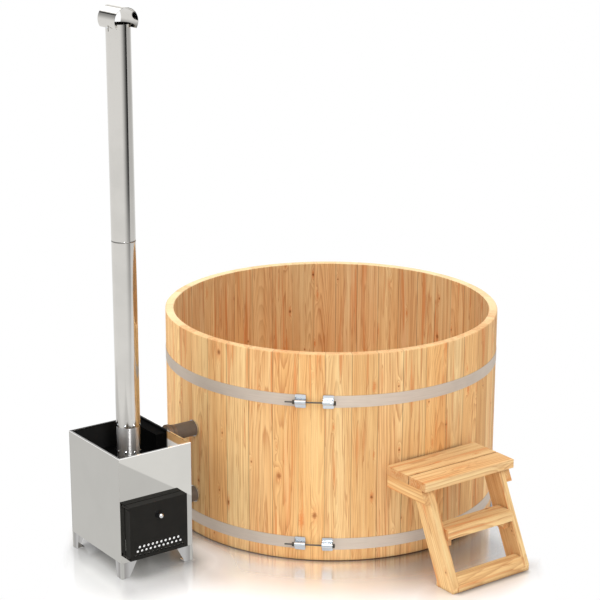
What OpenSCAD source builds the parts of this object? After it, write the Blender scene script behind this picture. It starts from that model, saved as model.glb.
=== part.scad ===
// Round wooden hot tub with an outside wood stove, a chimney and a set of steps.
// Millimetres, +Z up. The origin is on the ground under the centre of the tub.
// The stove stands on the -X side and the steps on the -Y side.
// An azimuth turns about +Z from the -Y side, with the +X side at 90 degrees.

/* [Tub wall] */
// Outside diameter of the wall
tub_d = 1800; // [1600:10:2200]
// Height of the rim above the ground
tub_h = 1110; // [1000:10:1300]
// Number of staves in the wall
stave_count = 42; // [36:6:60]
// Thickness of a stave
stave_t = 45; // [38:1:60]
// Height of the staves' feet above the ground
wall_lift = 3; // [1:1:20]
// Bevel on the upper edges of the rim
rim_bevel = 3; // [1:0.5:8]
// Seam between two staves or two boards
seam = 0.4; // [0.2:0.1:2]

/* [Floor] */
// Height of the floor bearers
bearer_h = 100; // [80:5:120]
// Width of a floor bearer
bearer_w = 70; // [45:5:120]
// Distance between the middles of two bearers
bearer_pitch = 500; // [400:10:550]
// Thickness of the floor boards
floor_t = 34; // [22:1:45]
// Number of floor boards, odd so that one lies in the middle
floor_board_count = 13; // [9:2:17]
// Depth of the groove in the staves that holds the floor
croze_depth = 12; // [6:1:18]

/* [Bench] */
// Height of the seat above the floor
seat_h = 330; // [280:10:400]
// Thickness of the seat boards
seat_t = 28; // [22:1:45]
// Distance from the tub's middle to the seat's front edge
seat_front = 530; // [480:10:580]
// Width of the front seat board
seat_board_w = 140; // [100:5:160]
// Gap between the two seat boards
seat_gap = 10; // [5:1:20]
// Thickness of the bench's uprights and rails
bench_frame_t = 34; // [28:1:45]
// Height of the rails under the seat
bench_rail_h = 60; // [40:5:90]
// Depth of an upright
upright_d = 90; // [60:5:120]

/* [Bands] */
// Width of a steel band
band_w = 62; // [40:1:80]
// Thickness of a steel band
band_t = 1.5; // [1:0.5:3]
// Height of the middle of the upper band
upper_band_z = 864; // [760:1:930]
// Height of the middle of the lower band
lower_band_z = 94; // [60:1:110]
// Azimuth of the clamps
clamp_az = -41.9; // [-60:0.1:-30]
// Width of a clamp lug along the band
lug_w = 55; // [40:1:70]
// Height of a clamp lug
lug_h = 70; // [64:1:90]
// Rounding of a lug's corners
lug_round = 6; // [2:0.5:12]
// Thickness of a lug's plate
lug_t = 4; // [3:0.5:6]
// Distance between the two lugs of a clamp
lug_spread = 85; // [60:1:110]
// Diameter of a tension bolt
bolt_d = 8; // [6:1:14]
// Diameter of the barrel that holds the bolt on a lug
barrel_d = 22; // [20:1:28]
// Distance from the wall to the bolt's middle line
bolt_out = 20; // [18:1:26]
// Length of bolt that stands out past its nut
bolt_tail = 38; // [10:1:60]

/* [Stove case] */
// Width of the case
case_w = 418; // [400:1:480]
// Depth of the case
case_d = 504; // [460:1:560]
// Height of the case's open top
case_top = 642; // [620:1:720]
// Height of the case's underside
case_bottom = 85; // [60:1:110]
// Distance between the tub's wall and the case
case_off = 202; // [190:1:290]
// Distance from the case's middle to the tub's middle line, towards the steps
case_shift = 49; // [0:1:80]
// Thickness of the case's sheets
case_t = 2; // [1:0.5:3]
// Width of the lip folded in around the open top
lip_w = 10; // [6:1:14]
// Width of a leg's front plate at the ground
leg_foot_w = 45; // [35:1:60]
// Width of a leg's front plate under the case
leg_top_w = 90; // [70:1:120]
// Width of a leg's side plate at the ground
leg_side_foot_w = 48; // [35:1:60]
// Width of a leg's side plate under the case
leg_side_top_w = 60; // [50:1:90]
// Thickness of the leg plates
leg_t = 3; // [2:0.5:5]

/* [Boiler and firebox] */
// Air gap between the case and the boiler
case_gap = 5; // [3:1:10]
// Height of the top of the boiler
boiler_top = 505; // [480:1:520]
// Water space between the boiler's shell and the firebox
water_gap = 32; // [20:1:38]
// Thickness of the boiler's and firebox's plates
plate_t = 4; // [3:0.5:6]
// Width of the water header on top of the boiler
header_w = 60; // [45:1:70]
// Height of the top of the water header
header_top = 628; // [626:1:632]
// Distance from the hoses' middle line to the header's front, towards the steps
header_front = 64; // [45:1:90]
// Diameter of the grate's bars
grate_bar_d = 12; // [8:1:16]
// Number of grate bars
grate_bar_count = 9; // [5:1:11]

/* [Stove door] */
// Width of the door
door_w = 335; // [320:1:345]
// Height of the door
door_h = 287; // [260:1:300]
// Distance from the case's left edge to the door
door_inset = 26; // [20:1:36]
// Height of the door's lower edge
door_bottom = 108; // [104:1:112]
// Depth of the door's tray
door_d = 45; // [40:1:60]
// Thickness of the door's sheet
door_t = 2; // [1.5:0.5:3]
// Gap between the closed door and the case
door_gap = 2.5; // [2:0.5:4]
// Distance from the door's hinge edge to the hinge axis
hinge_in = 8; // [7:0.5:9]
// Distance from the case's front to the hinge axis
hinge_out = 24; // [24:0.5:30]
// Diameter of the hinge rod
hinge_d = 8; // [6:1:10]
// Thickness of a hinge lug
hinge_lug_t = 8; // [6:1:10]
// Diameter of the air holes
air_hole_d = 13; // [8:0.5:16]
// Distance between two air holes in a row
air_hole_pitch = 25; // [20:0.5:28]
// Height of the lowest row of air holes above the door's lower edge
air_row_z = 22; // [16:1:30]
// Number of air holes in the top row
air_top_count = 10; // [6:1:10]
// Number of rows of air holes
air_row_count = 3; // [2:1:4]
// Distance from the door's face to the plate behind the air holes
baffle_in = 18; // [12:1:24]
// Height of the knob above the door's lower edge
knob_z = 214; // [180:1:240]
// Diameter of the knob's ball
knob_d = 26; // [20:1:36]
// Diameter of the knob's rose
rose_d = 42; // [34:1:50]

/* [Chimney] */
// Outside diameter of the chimney pipe
pipe_d = 122; // [110:1:150]
// Thickness of the pipe's wall
pipe_t = 1.4; // [1:0.1:2]
// Distance from the stove's middle to the pipe's middle, away from the steps
pipe_shift = 8; // [0:1:30]
// Height of the lower end of the lower pipe
lower_pipe_z = 703; // [690:1:760]
// Height of the joint between the two pipes
pipe_joint_z = 1669; // [1400:1:1900]
// Height of the open top of the upper pipe
pipe_top_z = 2733; // [2300:1:3000]
// Length of the neck that joins the two pipes
pipe_neck = 60; // [40:1:90]
// Running gap between pieces that slide or turn in each other
run_gap = 0.08; // [0.02:0.01:0.1]
// Number of rivets round the collar
rivet_count = 8; // [4:1:12]
// Diameter of a rivet's head
rivet_d = 12; // [8:1:14]
// Inside radius of the rain cap's strip
cap_r = 64; // [63:1:80]
// Thickness of the rain cap's strip
cap_t = 1.2; // [0.8:0.1:2]
// Length of the rain cap along the stove's depth
cap_l = 160; // [135:1:200]
// Angle of the rain cap's lower edges below level
cap_end = 34; // [28:1:40]
// Height of the rain cap's middle above the pipe's top
cap_rise = 18; // [16:1:26]

/* [Hoses] */
// Height of the flow hose
flow_z = 590; // [560:1:594]
// Height of the return hose
return_z = 222; // [215:1:260]
// Distance from the hoses to the tub's middle line, towards the steps
hose_shift = 12; // [0:1:40]
// Outside diameter of a hose
hose_d = 82; // [74:1:86]
// Bore of a hose
hose_bore = 63; // [60:1:66]
// Bore of the stubs and fittings
water_bore = 52; // [40:1:54]
// Length of stub that shows between the case and the hose
stub_show = 52; // [30:1:60]
// Length of stub or spigot inside the hose
stub_grip = 38; // [25:1:45]
// Diameter of a fitting's outer flange
flange_d = 88; // [86:1:110]
// Thickness of a fitting's flanges
flange_t = 6; // [4:1:16]
// Diameter of the union nut on a stub
union_d = 99; // [92:1:110]
// Width of a union nut
union_w = 18; // [10:1:24]
// Width of a hose clip
clip_w = 13; // [8:1:16]
// Distance from the hose's end to its clip
clip_in = 14; // [4:1:20]

/* [Drain] */
// Distance from the tub's middle to the drain, towards the steps
drain_reach = 640; // [600:5:680]
// Diameter of the drain's flange
drain_flange_d = 78; // [66:1:90]
// Diameter of the drain's bore
drain_bore = 40; // [30:1:44]

/* [Steps] */
// Width of the upper step
deck_w = 582; // [500:1:700]
// Distance from the tub's middle line to the steps' middle, towards the stove
deck_shift = 28; // [0:1:60]
// Height of the upper step
deck_top = 531; // [480:1:600]
// Thickness of the step boards
step_t = 45; // [34:1:50]
// Depth of the board next to the tub
back_board_d = 173; // [140:1:190]
// Depth of the upper step's front board
front_board_d = 127; // [110:1:150]
// Gap between the two boards
deck_gap = 6; // [3:1:12]
// Gap between the steps and the tub's wall
deck_clear = 3; // [1:1:20]
// Height of the cleats under the upper step
cleat_h = 70; // [50:1:90]
// Thickness of the cleats
cleat_t = 35; // [30:1:45]
// Distance from the board's end to a cleat
cleat_in = 5; // [2:1:15]
// Thickness of a leg
leg_board_t = 38; // [30:1:50]
// Depth of a leg, measured level
leg_board_d = 128; // [110:1:150]
// Lean of the legs from upright
leg_lean = 25.86; // [24:0.01:28]
// Distance from the front board's edge to the front of the feet
foot_reach = 183.5; // [150:0.5:220]
// Height of the upright part at the foot of a leg
foot_h = 32; // [15:1:45]
// Height of the lower step
tread_top = 296; // [260:1:330]
// Thickness of the lower step
tread_t = 52; // [40:1:60]
// Depth of the lower step
tread_d = 108; // [90:1:125]
// Distance that the lower step stands out in front of the legs at its underside
tread_nose = 10; // [0:1:20]
// Height of the bottom rail
rail_h = 75; // [60:1:120]
// Thickness of the bottom rail, measured level
rail_t = 44; // [34:1:60]
// Width of the cleats under the lower step
tread_cleat_t = 41; // [32:1:48]
// Height of the cleats under the lower step
tread_cleat_h = 43; // [30:1:60]
// Distance from the lower step's front to its cleats
tread_cleat_in = 23; // [10:1:35]
// Diameter of the screws' heads
screw_head_d = 9; // [7:1:11]

/* [Hidden] */
$fn = 96;

// Clearance where two separate pieces sit on each other
seat = 0.3;
// Extra length of a cutting tool past the face it cuts
over = 1;
// Extra length of a hole through the curved wall
hole_spare = 6;

wood = [0.87, 0.66, 0.42];
wood_deep = [0.78, 0.56, 0.34];
steel = [0.74, 0.73, 0.70];
zinc = [0.83, 0.85, 0.87];
dark_steel = [0.12, 0.12, 0.12];
black = [0.08, 0.08, 0.08];
rubber = [0.30, 0.26, 0.24];

// Wall
stave_groups = 6;
staves_per_group = stave_count / stave_groups;
outer_r = tub_d / 2;
inner_r = outer_r - stave_t;
stave_pitch = 360 / stave_count;
seam_angle = seam / outer_r * 180 / PI;
floor_z = bearer_h + seat;
floor_top = floor_z + floor_t;
croze_low = floor_z - seat;
croze_high = floor_top + seat;
floor_r = inner_r + croze_depth - seat;
floor_board_w = 2 * floor_r / floor_board_count;

// Bench
seat_z = floor_top + seat_h - seat_t;
bench_sides = 8;
bench_segments = 5;
side_angle = 360 / bench_sides;
bench_start = 180 - bench_segments * side_angle / 2;
bench_wall_gap = 2;
bench_r = inner_r - bench_wall_gap;
seat_overhang = 25;
rail_start = seat_front + seat_overhang;
rail_z = seat_z - bench_rail_h;
bench_frame_end = sqrt(pow(inner_r - seat, 2) - pow(bench_frame_t / 2, 2));

// Bands and clamps
band_r = outer_r + seat;
band_outer_r = band_r + band_t;
lug_mid = (lug_spread + lug_w) / 2;
lug_angle = asin(lug_mid / outer_r);
band_end_angle = asin((lug_spread / 2 + lug_w / 4) / outer_r);
bolt_axis_r = outer_r + bolt_out;
bolt_r = bolt_d / 2;
barrel_r = barrel_d / 2;
barrel_half = lug_spread / 2 + lug_w;
hex_rim = 8;
hex_r = bolt_r + hex_rim;
hex_t = 10;
washer_t = 2;
washer_rim = 1.5;
washer_r = hex_r + washer_rim;
web_h = barrel_d * 0.8;
bolt_clear = 0.5;

// Stove case
case_x = -outer_r - case_off - case_w / 2;
case_y = -case_shift;
case_x0 = case_x - case_w / 2;
case_x1 = case_x + case_w / 2;
case_y0 = case_y - case_d / 2;
case_y1 = case_y + case_d / 2;
panel_z = case_bottom;
panel_h = case_top - case_bottom;
case_floor_top = case_bottom + case_t;

// Boiler, firebox and header
hose_y = -hose_shift;
boiler_x0 = case_x0 + case_t + case_gap;
boiler_x1 = case_x1 - case_t - case_gap;
boiler_y0 = case_y0 + case_t + seat;
boiler_y1 = case_y1 - case_t - case_gap;
boiler_z = case_floor_top + seat;
mouth_margin = 18;
mouth_x0 = case_x0 + door_inset + mouth_margin;
mouth_x1 = mouth_x0 + door_w - 2 * mouth_margin;
mouth_z0 = door_bottom + mouth_margin;
mouth_z1 = mouth_z0 + door_h - 2 * mouth_margin;
fire_x0 = boiler_x0 + plate_t + water_gap;
fire_x1 = boiler_x1 - plate_t - water_gap;
fire_y1 = boiler_y1 - plate_t - water_gap;
fire_foot = 6;
fire_z0 = boiler_z + plate_t + fire_foot;
fire_z1 = boiler_top - plate_t - water_gap;
header_x0 = boiler_x1 - header_w;
header_y0 = hose_y - header_front;
header_z = boiler_top + seat;
header_wall = plate_t / 2;
header_port_d = 40;
grate_rise = 55;
grate_z = fire_z0 + plate_t + grate_rise;
grate_cross_in = 40;
pan_h = 40;
pan_t = 2;
pan_gap = 8;

// Door
door_x0 = case_x0 + door_inset;
door_x1 = door_x0 + door_w;
door_y1 = case_y0 - door_gap;
door_y0 = door_y1 - door_d;
door_top = door_bottom + door_h;
door_mid = (door_x0 + door_x1) / 2;
hinge_x = door_x0 + hinge_in;
hinge_y = case_y0 - hinge_out;
hinge_lug_clear = 4;
hinge_lug_wall = 4;
hinge_lug_r = hinge_d / 2 + hinge_lug_wall;
hinge_lug_lows = [door_bottom + door_t + hinge_lug_clear,
                  door_top - door_t - hinge_lug_clear - hinge_lug_t];
hinge_notch = hinge_lug_t + 2 * hinge_lug_clear;
air_row_rise = air_hole_pitch * sin(60);
air_top_z = door_bottom + air_row_z + (air_row_count - 1) * air_row_rise;
baffle_z0 = door_bottom + air_row_z + 0.4 * air_row_rise;
baffle_z1 = air_top_z + air_row_rise;
baffle_t = 1.5;
baffle_y = door_y0 + baffle_in;
baffle_hinge_gap = 6;
rose_t = 6;
rose_bevel = 3;
neck_d = 10;
neck_clear = 0.4;
knob_reach = 21;

// Chimney
pipe_x = case_x;
pipe_y = case_y + pipe_shift;
pipe_r = pipe_d / 2;
pipe_bore_r = pipe_r - pipe_t;
collar_r = pipe_bore_r - run_gap;
collar_t = 1.5;
collar_z0 = boiler_top + seat;
collar_grip = 57;
collar_z1 = lower_pipe_z + collar_grip;
spigot_r = collar_r - collar_t - run_gap;
spigot_t = 3;
spigot_z0 = fire_z1 + seat;
spigot_rise = 95;
spigot_z1 = boiler_top + spigot_rise;
rivet_low_rise = 67;
rivet_low_z = boiler_top + rivet_low_rise;
rivet_high_in = 12;
rivet_high_z = lower_pipe_z + rivet_high_in;
rivet_head_t = 2.5;
neck_r = pipe_bore_r - run_gap;
neck_t = 1.4;
neck_shoulder = 4;
cap_z = pipe_top_z + cap_rise;
tab_w = 22;
tab_drop = 34;

// Hoses
hose_levels = [flow_z, return_z];
hose_r = hose_d / 2;
stub_r = hose_bore / 2 - run_gap;
hose_x0 = case_x1 + stub_show;
wall_x = -outer_r;
flange_x0 = wall_x - seat - flange_t;
hose_x1 = flange_x0 - seat;
tube_step = 4;
wall_hole_r = stub_r - tube_step;
tube_gap = 0.5;
tube_r = wall_hole_r - tube_gap;
fitting_bore_r = 22;
inner_nut_d = 84;
inner_nut_t = 10;
inner_nut_x = -sqrt(pow(inner_r, 2) - pow(hose_shift + inner_nut_d / 2, 2)) + seat;
clip_t = 1.4;
clip_screw = 18;

// Drain
drain_y = -drain_reach;
drain_wall = 4;
drain_tube_r = drain_bore / 2 + drain_wall;
drain_flange_t = 4;
drain_bevel = 2;
drain_nut_t = 10;
drain_nut_rim = 8;
drain_below = 18;
drain_end = floor_z - drain_below;
plug_rim = 7;
plug_head_t = 7;
plug_l = 26;
eye_t = 6;
eye_r = 13;
eye_bore_r = 7;
eye_rise = 8;

// Steps
deck_x = -deck_shift;
deck_x0 = deck_x - deck_w / 2;
deck_x1 = deck_x + deck_w / 2;
deck_z = deck_top - step_t;
back_y1 = -outer_r - deck_clear;
back_y0 = back_y1 - back_board_d;
front_y1 = back_y0 - deck_gap;
front_y0 = front_y1 - front_board_d;
cleat_z = deck_z - cleat_h;
cleat_back = 2;
cleat_y1 = back_y1 - cleat_back;
left_leg_x = deck_x0 + cleat_in + cleat_t;
right_leg_x = deck_x1 - cleat_in - cleat_t - leg_board_t;
foot_y = front_y0 - foot_reach;
lean = tan(leg_lean);
tread_z = tread_top - tread_t;
tread_x0 = left_leg_x + leg_board_t;
tread_w = right_leg_x - tread_x0;
tread_y0 = lean_y(tread_z) - tread_nose;
tread_cleat_y0 = tread_y0 + tread_cleat_in;
tread_cleat_l = tread_d - tread_cleat_in;
screw_d = 5;
screw_head_t = 3;
screw_l = 55;
screw_edge = 25;
screw_back_edge = 40;
screw_bite = 30;
screw_half_pitch = 30;
tread_screw_in = 20;

// Y of the legs' front line at a height
function lean_y(z) = foot_y + lean * max(z - foot_h, 0);

// Moves and turns children to an azimuth on the tub, with -Y pointing outwards
module at_azimuth(az) {
    rotate([0, 0, az])
        children();
}

// Puts children on every side of the bench that has a joint or an end
module at_bench_joints() {
    for (k = [0 : bench_segments])
        at_azimuth(bench_start + k * side_angle)
            children();
}

// Outline of a stave cut through its length, with the groove for the floor
module stave_outline() {
    polygon([
        [inner_r, wall_lift],
        [outer_r, wall_lift],
        [outer_r, tub_h - rim_bevel],
        [outer_r - rim_bevel, tub_h],
        [inner_r + rim_bevel, tub_h],
        [inner_r, tub_h - rim_bevel],
        [inner_r, croze_high],
        [inner_r + croze_depth, croze_high],
        [inner_r + croze_depth, croze_low],
        [inner_r, croze_low]
    ]);
}

module stave(i) {
    rotate([0, 0, i * stave_pitch - 90 + seam_angle / 2])
        rotate_extrude(angle = stave_pitch - seam_angle)
            stave_outline();
}

module wall_staves(group) {
    first = (group - 1) * staves_per_group;
    color(wood)
        difference() {
            for (i = [first : first + staves_per_group - 1])
                stave(i);
            for (z = hose_levels)
                translate([wall_x - over, hose_y, z])
                    rotate([0, 90, 0])
                        cylinder(r = wall_hole_r, h = stave_t + 2 * over + hole_spare);
        }
}

module floor_boards() {
    color(wood_deep)
        difference() {
            intersection() {
                translate([0, 0, floor_z])
                    cylinder(r = floor_r, h = floor_t);
                for (i = [0 : floor_board_count - 1])
                    translate([i * floor_board_w - floor_r + seam / 2, -floor_r - over, floor_z - over])
                        cube([floor_board_w - seam, 2 * (floor_r + over), floor_t + 2 * over]);
            }
            translate([0, drain_y, floor_z - over])
                cylinder(r = drain_tube_r + bolt_clear, h = floor_t + 2 * over);
        }
}

module floor_bearers() {
    color(wood_deep)
        for (y = [-bearer_pitch, 0, bearer_pitch]) {
            reach = sqrt(pow(inner_r - seat, 2) - pow(abs(y) + bearer_w / 2, 2));
            translate([-reach, y - bearer_w / 2, 0])
                cube([2 * reach, bearer_w, bearer_h]);
        }
}

// Seat board between two distances from the tub's middle, mitred at its ends
module seat_board(near, far) {
    slope = tan(side_angle / 2);
    linear_extrude(seat_t)
        polygon([
            [-near * slope + seam, -near],
            [near * slope - seam, -near],
            [far * slope - seam, -far],
            [-far * slope + seam, -far]
        ]);
}

module bench_boards() {
    split = seat_front + seat_board_w;
    color(wood_deep)
        intersection() {
            translate([0, 0, seat_z])
                cylinder(r = bench_r, h = seat_t);
            for (k = [0 : bench_segments - 1])
                at_azimuth(bench_start + (k + 0.5) * side_angle)
                    translate([0, 0, seat_z]) {
                        seat_board(seat_front, split);
                        seat_board(split + seat_gap, inner_r);
                    }
        }
}

module bench_rails() {
    color(wood_deep)
        at_bench_joints()
            translate([-bench_frame_t / 2, -bench_frame_end, rail_z])
                cube([bench_frame_t, bench_frame_end - rail_start, bench_rail_h - seat]);
}

module bench_uprights() {
    color(wood_deep)
        at_bench_joints()
            translate([-bench_frame_t / 2, -rail_start - upright_d, floor_top + seat])
                cube([bench_frame_t, upright_d, rail_z - floor_top - 2 * seat]);
}

module band(z) {
    color(steel)
        at_azimuth(clamp_az + band_end_angle - 90)
            rotate_extrude(angle = 360 - 2 * band_end_angle)
                translate([band_r, z - band_w / 2])
                    square([band_t, band_w]);
}

// Upright plate with round corners, its middle on the origin and its front towards -Y
module round_plate(width, height, thick, corner) {
    x = width / 2 - corner;
    z = height / 2 - corner;
    translate([-x, -thick, -height / 2])
        cube([2 * x, thick, height]);
    translate([-width / 2, -thick, -z])
        cube([width, thick, 2 * z]);
    for (sx = [-1, 1], sz = [-1, 1])
        translate([sx * x, 0, sz * z])
            rotate([90, 0, 0])
                cylinder(r = corner, h = thick);
}

// One cast lug: a plate on the band and a barrel for the bolt, on the side that is given
module clamp_lug(side) {
    difference() {
        union() {
            at_azimuth(side * lug_angle)
                translate([0, -band_outer_r - seat, 0])
                    round_plate(lug_w, lug_h, lug_t, lug_round);
            translate([side * lug_mid - lug_w / 2, -bolt_axis_r, 0])
                rotate([0, 90, 0])
                    cylinder(r = barrel_r, h = lug_w);
            translate([side * lug_mid - lug_w / 2, -bolt_axis_r, -web_h / 2])
                cube([lug_w, bolt_axis_r - band_outer_r - seat - lug_t / 2, web_h]);
        }
        translate([side * lug_mid - lug_w / 2 - over, -bolt_axis_r, 0])
            rotate([0, 90, 0])
                cylinder(r = bolt_r + bolt_clear, h = lug_w + 2 * over);
    }
}

module clamp(z) {
    color(zinc)
        at_azimuth(clamp_az)
            translate([0, 0, z])
                for (side = [-1, 1])
                    clamp_lug(side);
}

module tension_bolts() {
    head_x = barrel_half + seat + washer_t + seat;
    tail_x = -barrel_half - 2 * seat - washer_t - hex_t - bolt_tail;
    color(dark_steel)
        for (z = [upper_band_z, lower_band_z])
            at_azimuth(clamp_az)
                translate([0, -bolt_axis_r, z])
                    rotate([0, 90, 0]) {
                        translate([0, 0, tail_x])
                            cylinder(r = bolt_r, h = head_x - tail_x);
                        translate([0, 0, head_x])
                            cylinder(r = hex_r, h = hex_t, $fn = 6);
                    }
}

// A washer under each bolt head, and a washer and a nut at the other end
module tension_nuts() {
    washer_x = barrel_half + seat;
    color(dark_steel)
        for (z = [upper_band_z, lower_band_z])
            at_azimuth(clamp_az)
                translate([0, -bolt_axis_r, z])
                    rotate([0, 90, 0])
                        difference() {
                            union() {
                                translate([0, 0, washer_x])
                                    cylinder(r = washer_r, h = washer_t);
                                translate([0, 0, -washer_x - washer_t])
                                    cylinder(r = washer_r, h = washer_t);
                                translate([0, 0, -washer_x - washer_t - hex_t])
                                    cylinder(r = hex_r, h = hex_t, $fn = 6);
                            }
                            translate([0, 0, -2 * barrel_half])
                                cylinder(r = bolt_r + run_gap, h = 4 * barrel_half);
                        }
}

// Flange outside the wall, spigot for the hose and tube through the wall
module water_fittings() {
    spigot_x = hose_x1 - stub_grip;
    tube_end = inner_nut_x + inner_nut_t;
    color(zinc)
        for (z = hose_levels)
            translate([0, hose_y, z])
                rotate([0, 90, 0])
                    rotate_extrude()
                        polygon([
                            [fitting_bore_r, spigot_x],
                            [stub_r, spigot_x],
                            [stub_r, flange_x0],
                            [flange_d / 2, flange_x0],
                            [flange_d / 2, flange_x0 + flange_t],
                            [tube_r, flange_x0 + flange_t],
                            [tube_r, tube_end],
                            [fitting_bore_r, tube_end]
                        ]);
}

module fitting_nuts() {
    color(zinc)
        for (z = hose_levels)
            translate([inner_nut_x, hose_y, z])
                rotate([0, 90, 0])
                    difference() {
                        cylinder(d = inner_nut_d, h = inner_nut_t);
                        translate([0, 0, -over])
                            cylinder(r = tube_r + run_gap, h = inner_nut_t + 2 * over);
                    }
}

// Flanged tube through the floor, with its nut below
module drain_body() {
    flange_z = floor_top + seat;
    nut_z = floor_z - seat - drain_nut_t;
    bore_r = drain_bore / 2;
    color(zinc)
        translate([0, drain_y, 0])
            rotate_extrude()
                polygon([
                    [bore_r, drain_end],
                    [drain_tube_r, drain_end],
                    [drain_tube_r, nut_z],
                    [drain_tube_r + drain_nut_rim, nut_z],
                    [drain_tube_r + drain_nut_rim, nut_z + drain_nut_t],
                    [drain_tube_r, nut_z + drain_nut_t],
                    [drain_tube_r, flange_z],
                    [drain_flange_d / 2, flange_z],
                    [drain_flange_d / 2 - drain_bevel, flange_z + drain_flange_t],
                    [bore_r, flange_z + drain_flange_t]
                ]);
}

// Plug with a head that rests on the drain's flange and an eye to pull it by
module drain_plug() {
    head_z = floor_top + 2 * seat + drain_flange_t;
    color(black)
        translate([0, drain_y, 0]) {
            translate([0, 0, head_z - plug_l])
                cylinder(r = drain_bore / 2 - run_gap, h = plug_l);
            translate([0, 0, head_z])
                cylinder(r = drain_bore / 2 + plug_rim, h = plug_head_t);
            translate([0, eye_t / 2, head_z + plug_head_t + eye_rise])
                rotate([90, 0, 0])
                    difference() {
                        cylinder(r = eye_r, h = eye_t);
                        translate([0, 0, -over])
                            cylinder(r = eye_bore_r, h = eye_t + 2 * over);
                    }
        }
}

// Upright sheet of the case's side, with the lip between the front and back lips
module case_side(x, lip_x) {
    y = case_y0 + case_t + seat;
    depth = case_d - 2 * (case_t + seat);
    translate([x, y, panel_z])
        cube([case_t, depth, panel_h]);
    translate([lip_x, y + lip_w - case_t, case_top - case_t])
        cube([lip_w, depth - 2 * (lip_w - case_t), case_t]);
}

module case_left() {
    color(steel)
        case_side(case_x0, case_x0);
}

module case_right() {
    color(steel)
        difference() {
            case_side(case_x1 - case_t, case_x1 - lip_w);
            for (z = hose_levels)
                translate([case_x1 - case_t - over, hose_y, z])
                    rotate([0, 90, 0])
                        cylinder(r = stub_r + bolt_clear, h = case_t + 2 * over);
        }
}

module case_back() {
    color(steel) {
        translate([case_x0, case_y1 - case_t, panel_z])
            cube([case_w, case_t, panel_h]);
        translate([case_x0 + case_t + seat, case_y1 - lip_w, case_top - case_t])
            cube([case_w - 2 * (case_t + seat), lip_w, case_t]);
    }
}

module case_front() {
    color(steel)
        difference() {
            union() {
                translate([case_x0, case_y0, panel_z])
                    cube([case_w, case_t, panel_h]);
                translate([case_x0 + case_t + seat, case_y0, case_top - case_t])
                    cube([case_w - 2 * (case_t + seat), lip_w, case_t]);
            }
            translate([mouth_x0, case_y0 - over, mouth_z0])
                cube([mouth_x1 - mouth_x0, case_t + 2 * over, mouth_z1 - mouth_z0]);
        }
}

module case_floor() {
    margin = case_t + seat;
    color(steel)
        translate([case_x0 + margin, case_y0 + margin, case_bottom])
            cube([case_w - 2 * margin, case_d - 2 * margin, case_t]);
}

// Corner leg of two tapered plates, a top plate and a foot plate, at the corner (0, 0)
module stove_leg() {
    height = case_bottom - seat;
    translate([0, leg_t, 0])
        rotate([90, 0, 0])
            linear_extrude(leg_t)
                polygon([[0, 0], [leg_foot_w, 0], [leg_top_w, height], [0, height]]);
    rotate([90, 0, 90])
        linear_extrude(leg_t)
            polygon([[0, 0], [leg_side_foot_w, 0], [leg_side_top_w, height], [0, height]]);
    translate([0, 0, height - leg_t])
        cube([leg_side_top_w, leg_side_top_w, leg_t]);
    cube([leg_foot_w, leg_foot_w, leg_t]);
}

module stove_legs() {
    color(steel)
        for (side_x = [0, 1], side_y = [0, 1])
            translate([side_x == 0 ? case_x0 : case_x1, side_y == 0 ? case_y0 : case_y1, 0])
                mirror([side_x, 0, 0])
                    mirror([0, side_y, 0])
                        stove_leg();
}

// Outer shell of the water jacket
module boiler_shell() {
    inside = [boiler_x1 - boiler_x0 - 2 * plate_t, boiler_y1 - boiler_y0 - 2 * plate_t,
              boiler_top - boiler_z - 2 * plate_t];
    header_mid = [header_x0 + header_w / 2, (header_y0 + boiler_y1) / 2];
    color(dark_steel)
        difference() {
            translate([boiler_x0, boiler_y0, boiler_z])
                cube([boiler_x1 - boiler_x0, boiler_y1 - boiler_y0, boiler_top - boiler_z]);
            translate([boiler_x0 + plate_t, boiler_y0 + plate_t, boiler_z + plate_t])
                cube(inside);
            translate([mouth_x0, boiler_y0 - over, mouth_z0])
                cube([mouth_x1 - mouth_x0, plate_t + 2 * over, mouth_z1 - mouth_z0]);
            translate([pipe_x, pipe_y, boiler_top - plate_t - over])
                cylinder(r = spigot_r + run_gap, h = plate_t + 2 * over);
            translate([header_mid[0], header_mid[1], boiler_top - plate_t - over])
                cylinder(d = header_port_d, h = plate_t + 2 * over);
            translate([boiler_x1 - plate_t - over, hose_y, return_z])
                rotate([0, 90, 0])
                    cylinder(r = stub_r + run_gap, h = plate_t + 2 * over);
        }
}

// Firebox inside the water jacket, open at the mouth and at the flue
module firebox() {
    front = boiler_y0 + plate_t + seat;
    color(dark_steel)
        difference() {
            translate([fire_x0, front, fire_z0])
                cube([fire_x1 - fire_x0, fire_y1 - front, fire_z1 - fire_z0]);
            translate([fire_x0 + plate_t, front + plate_t, fire_z0 + plate_t])
                cube([fire_x1 - fire_x0 - 2 * plate_t, fire_y1 - front - 2 * plate_t,
                      fire_z1 - fire_z0 - 2 * plate_t]);
            translate([max(mouth_x0, fire_x0 + plate_t), front - over, mouth_z0])
                cube([min(mouth_x1, fire_x1 - plate_t) - max(mouth_x0, fire_x0 + plate_t),
                      plate_t + 2 * over, mouth_z1 - mouth_z0]);
            translate([pipe_x, pipe_y, fire_z1 - plate_t - over])
                cylinder(r = spigot_r - spigot_t, h = plate_t + 2 * over);
        }
}

// Header that leads the hot water up to the flow stub
module flow_header() {
    depth = boiler_y1 - header_y0;
    height = header_top - header_z;
    color(dark_steel)
        difference() {
            translate([header_x0, header_y0, header_z])
                cube([header_w, depth, height]);
            translate([header_x0 + header_wall, header_y0 + header_wall, header_z - over])
                cube([header_w - 2 * header_wall, depth - 2 * header_wall, height - header_wall + over]);
            translate([boiler_x1 - header_wall - over, hose_y, flow_z])
                rotate([0, 90, 0])
                    cylinder(r = stub_r + run_gap, h = header_wall + 2 * over);
        }
}

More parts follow.
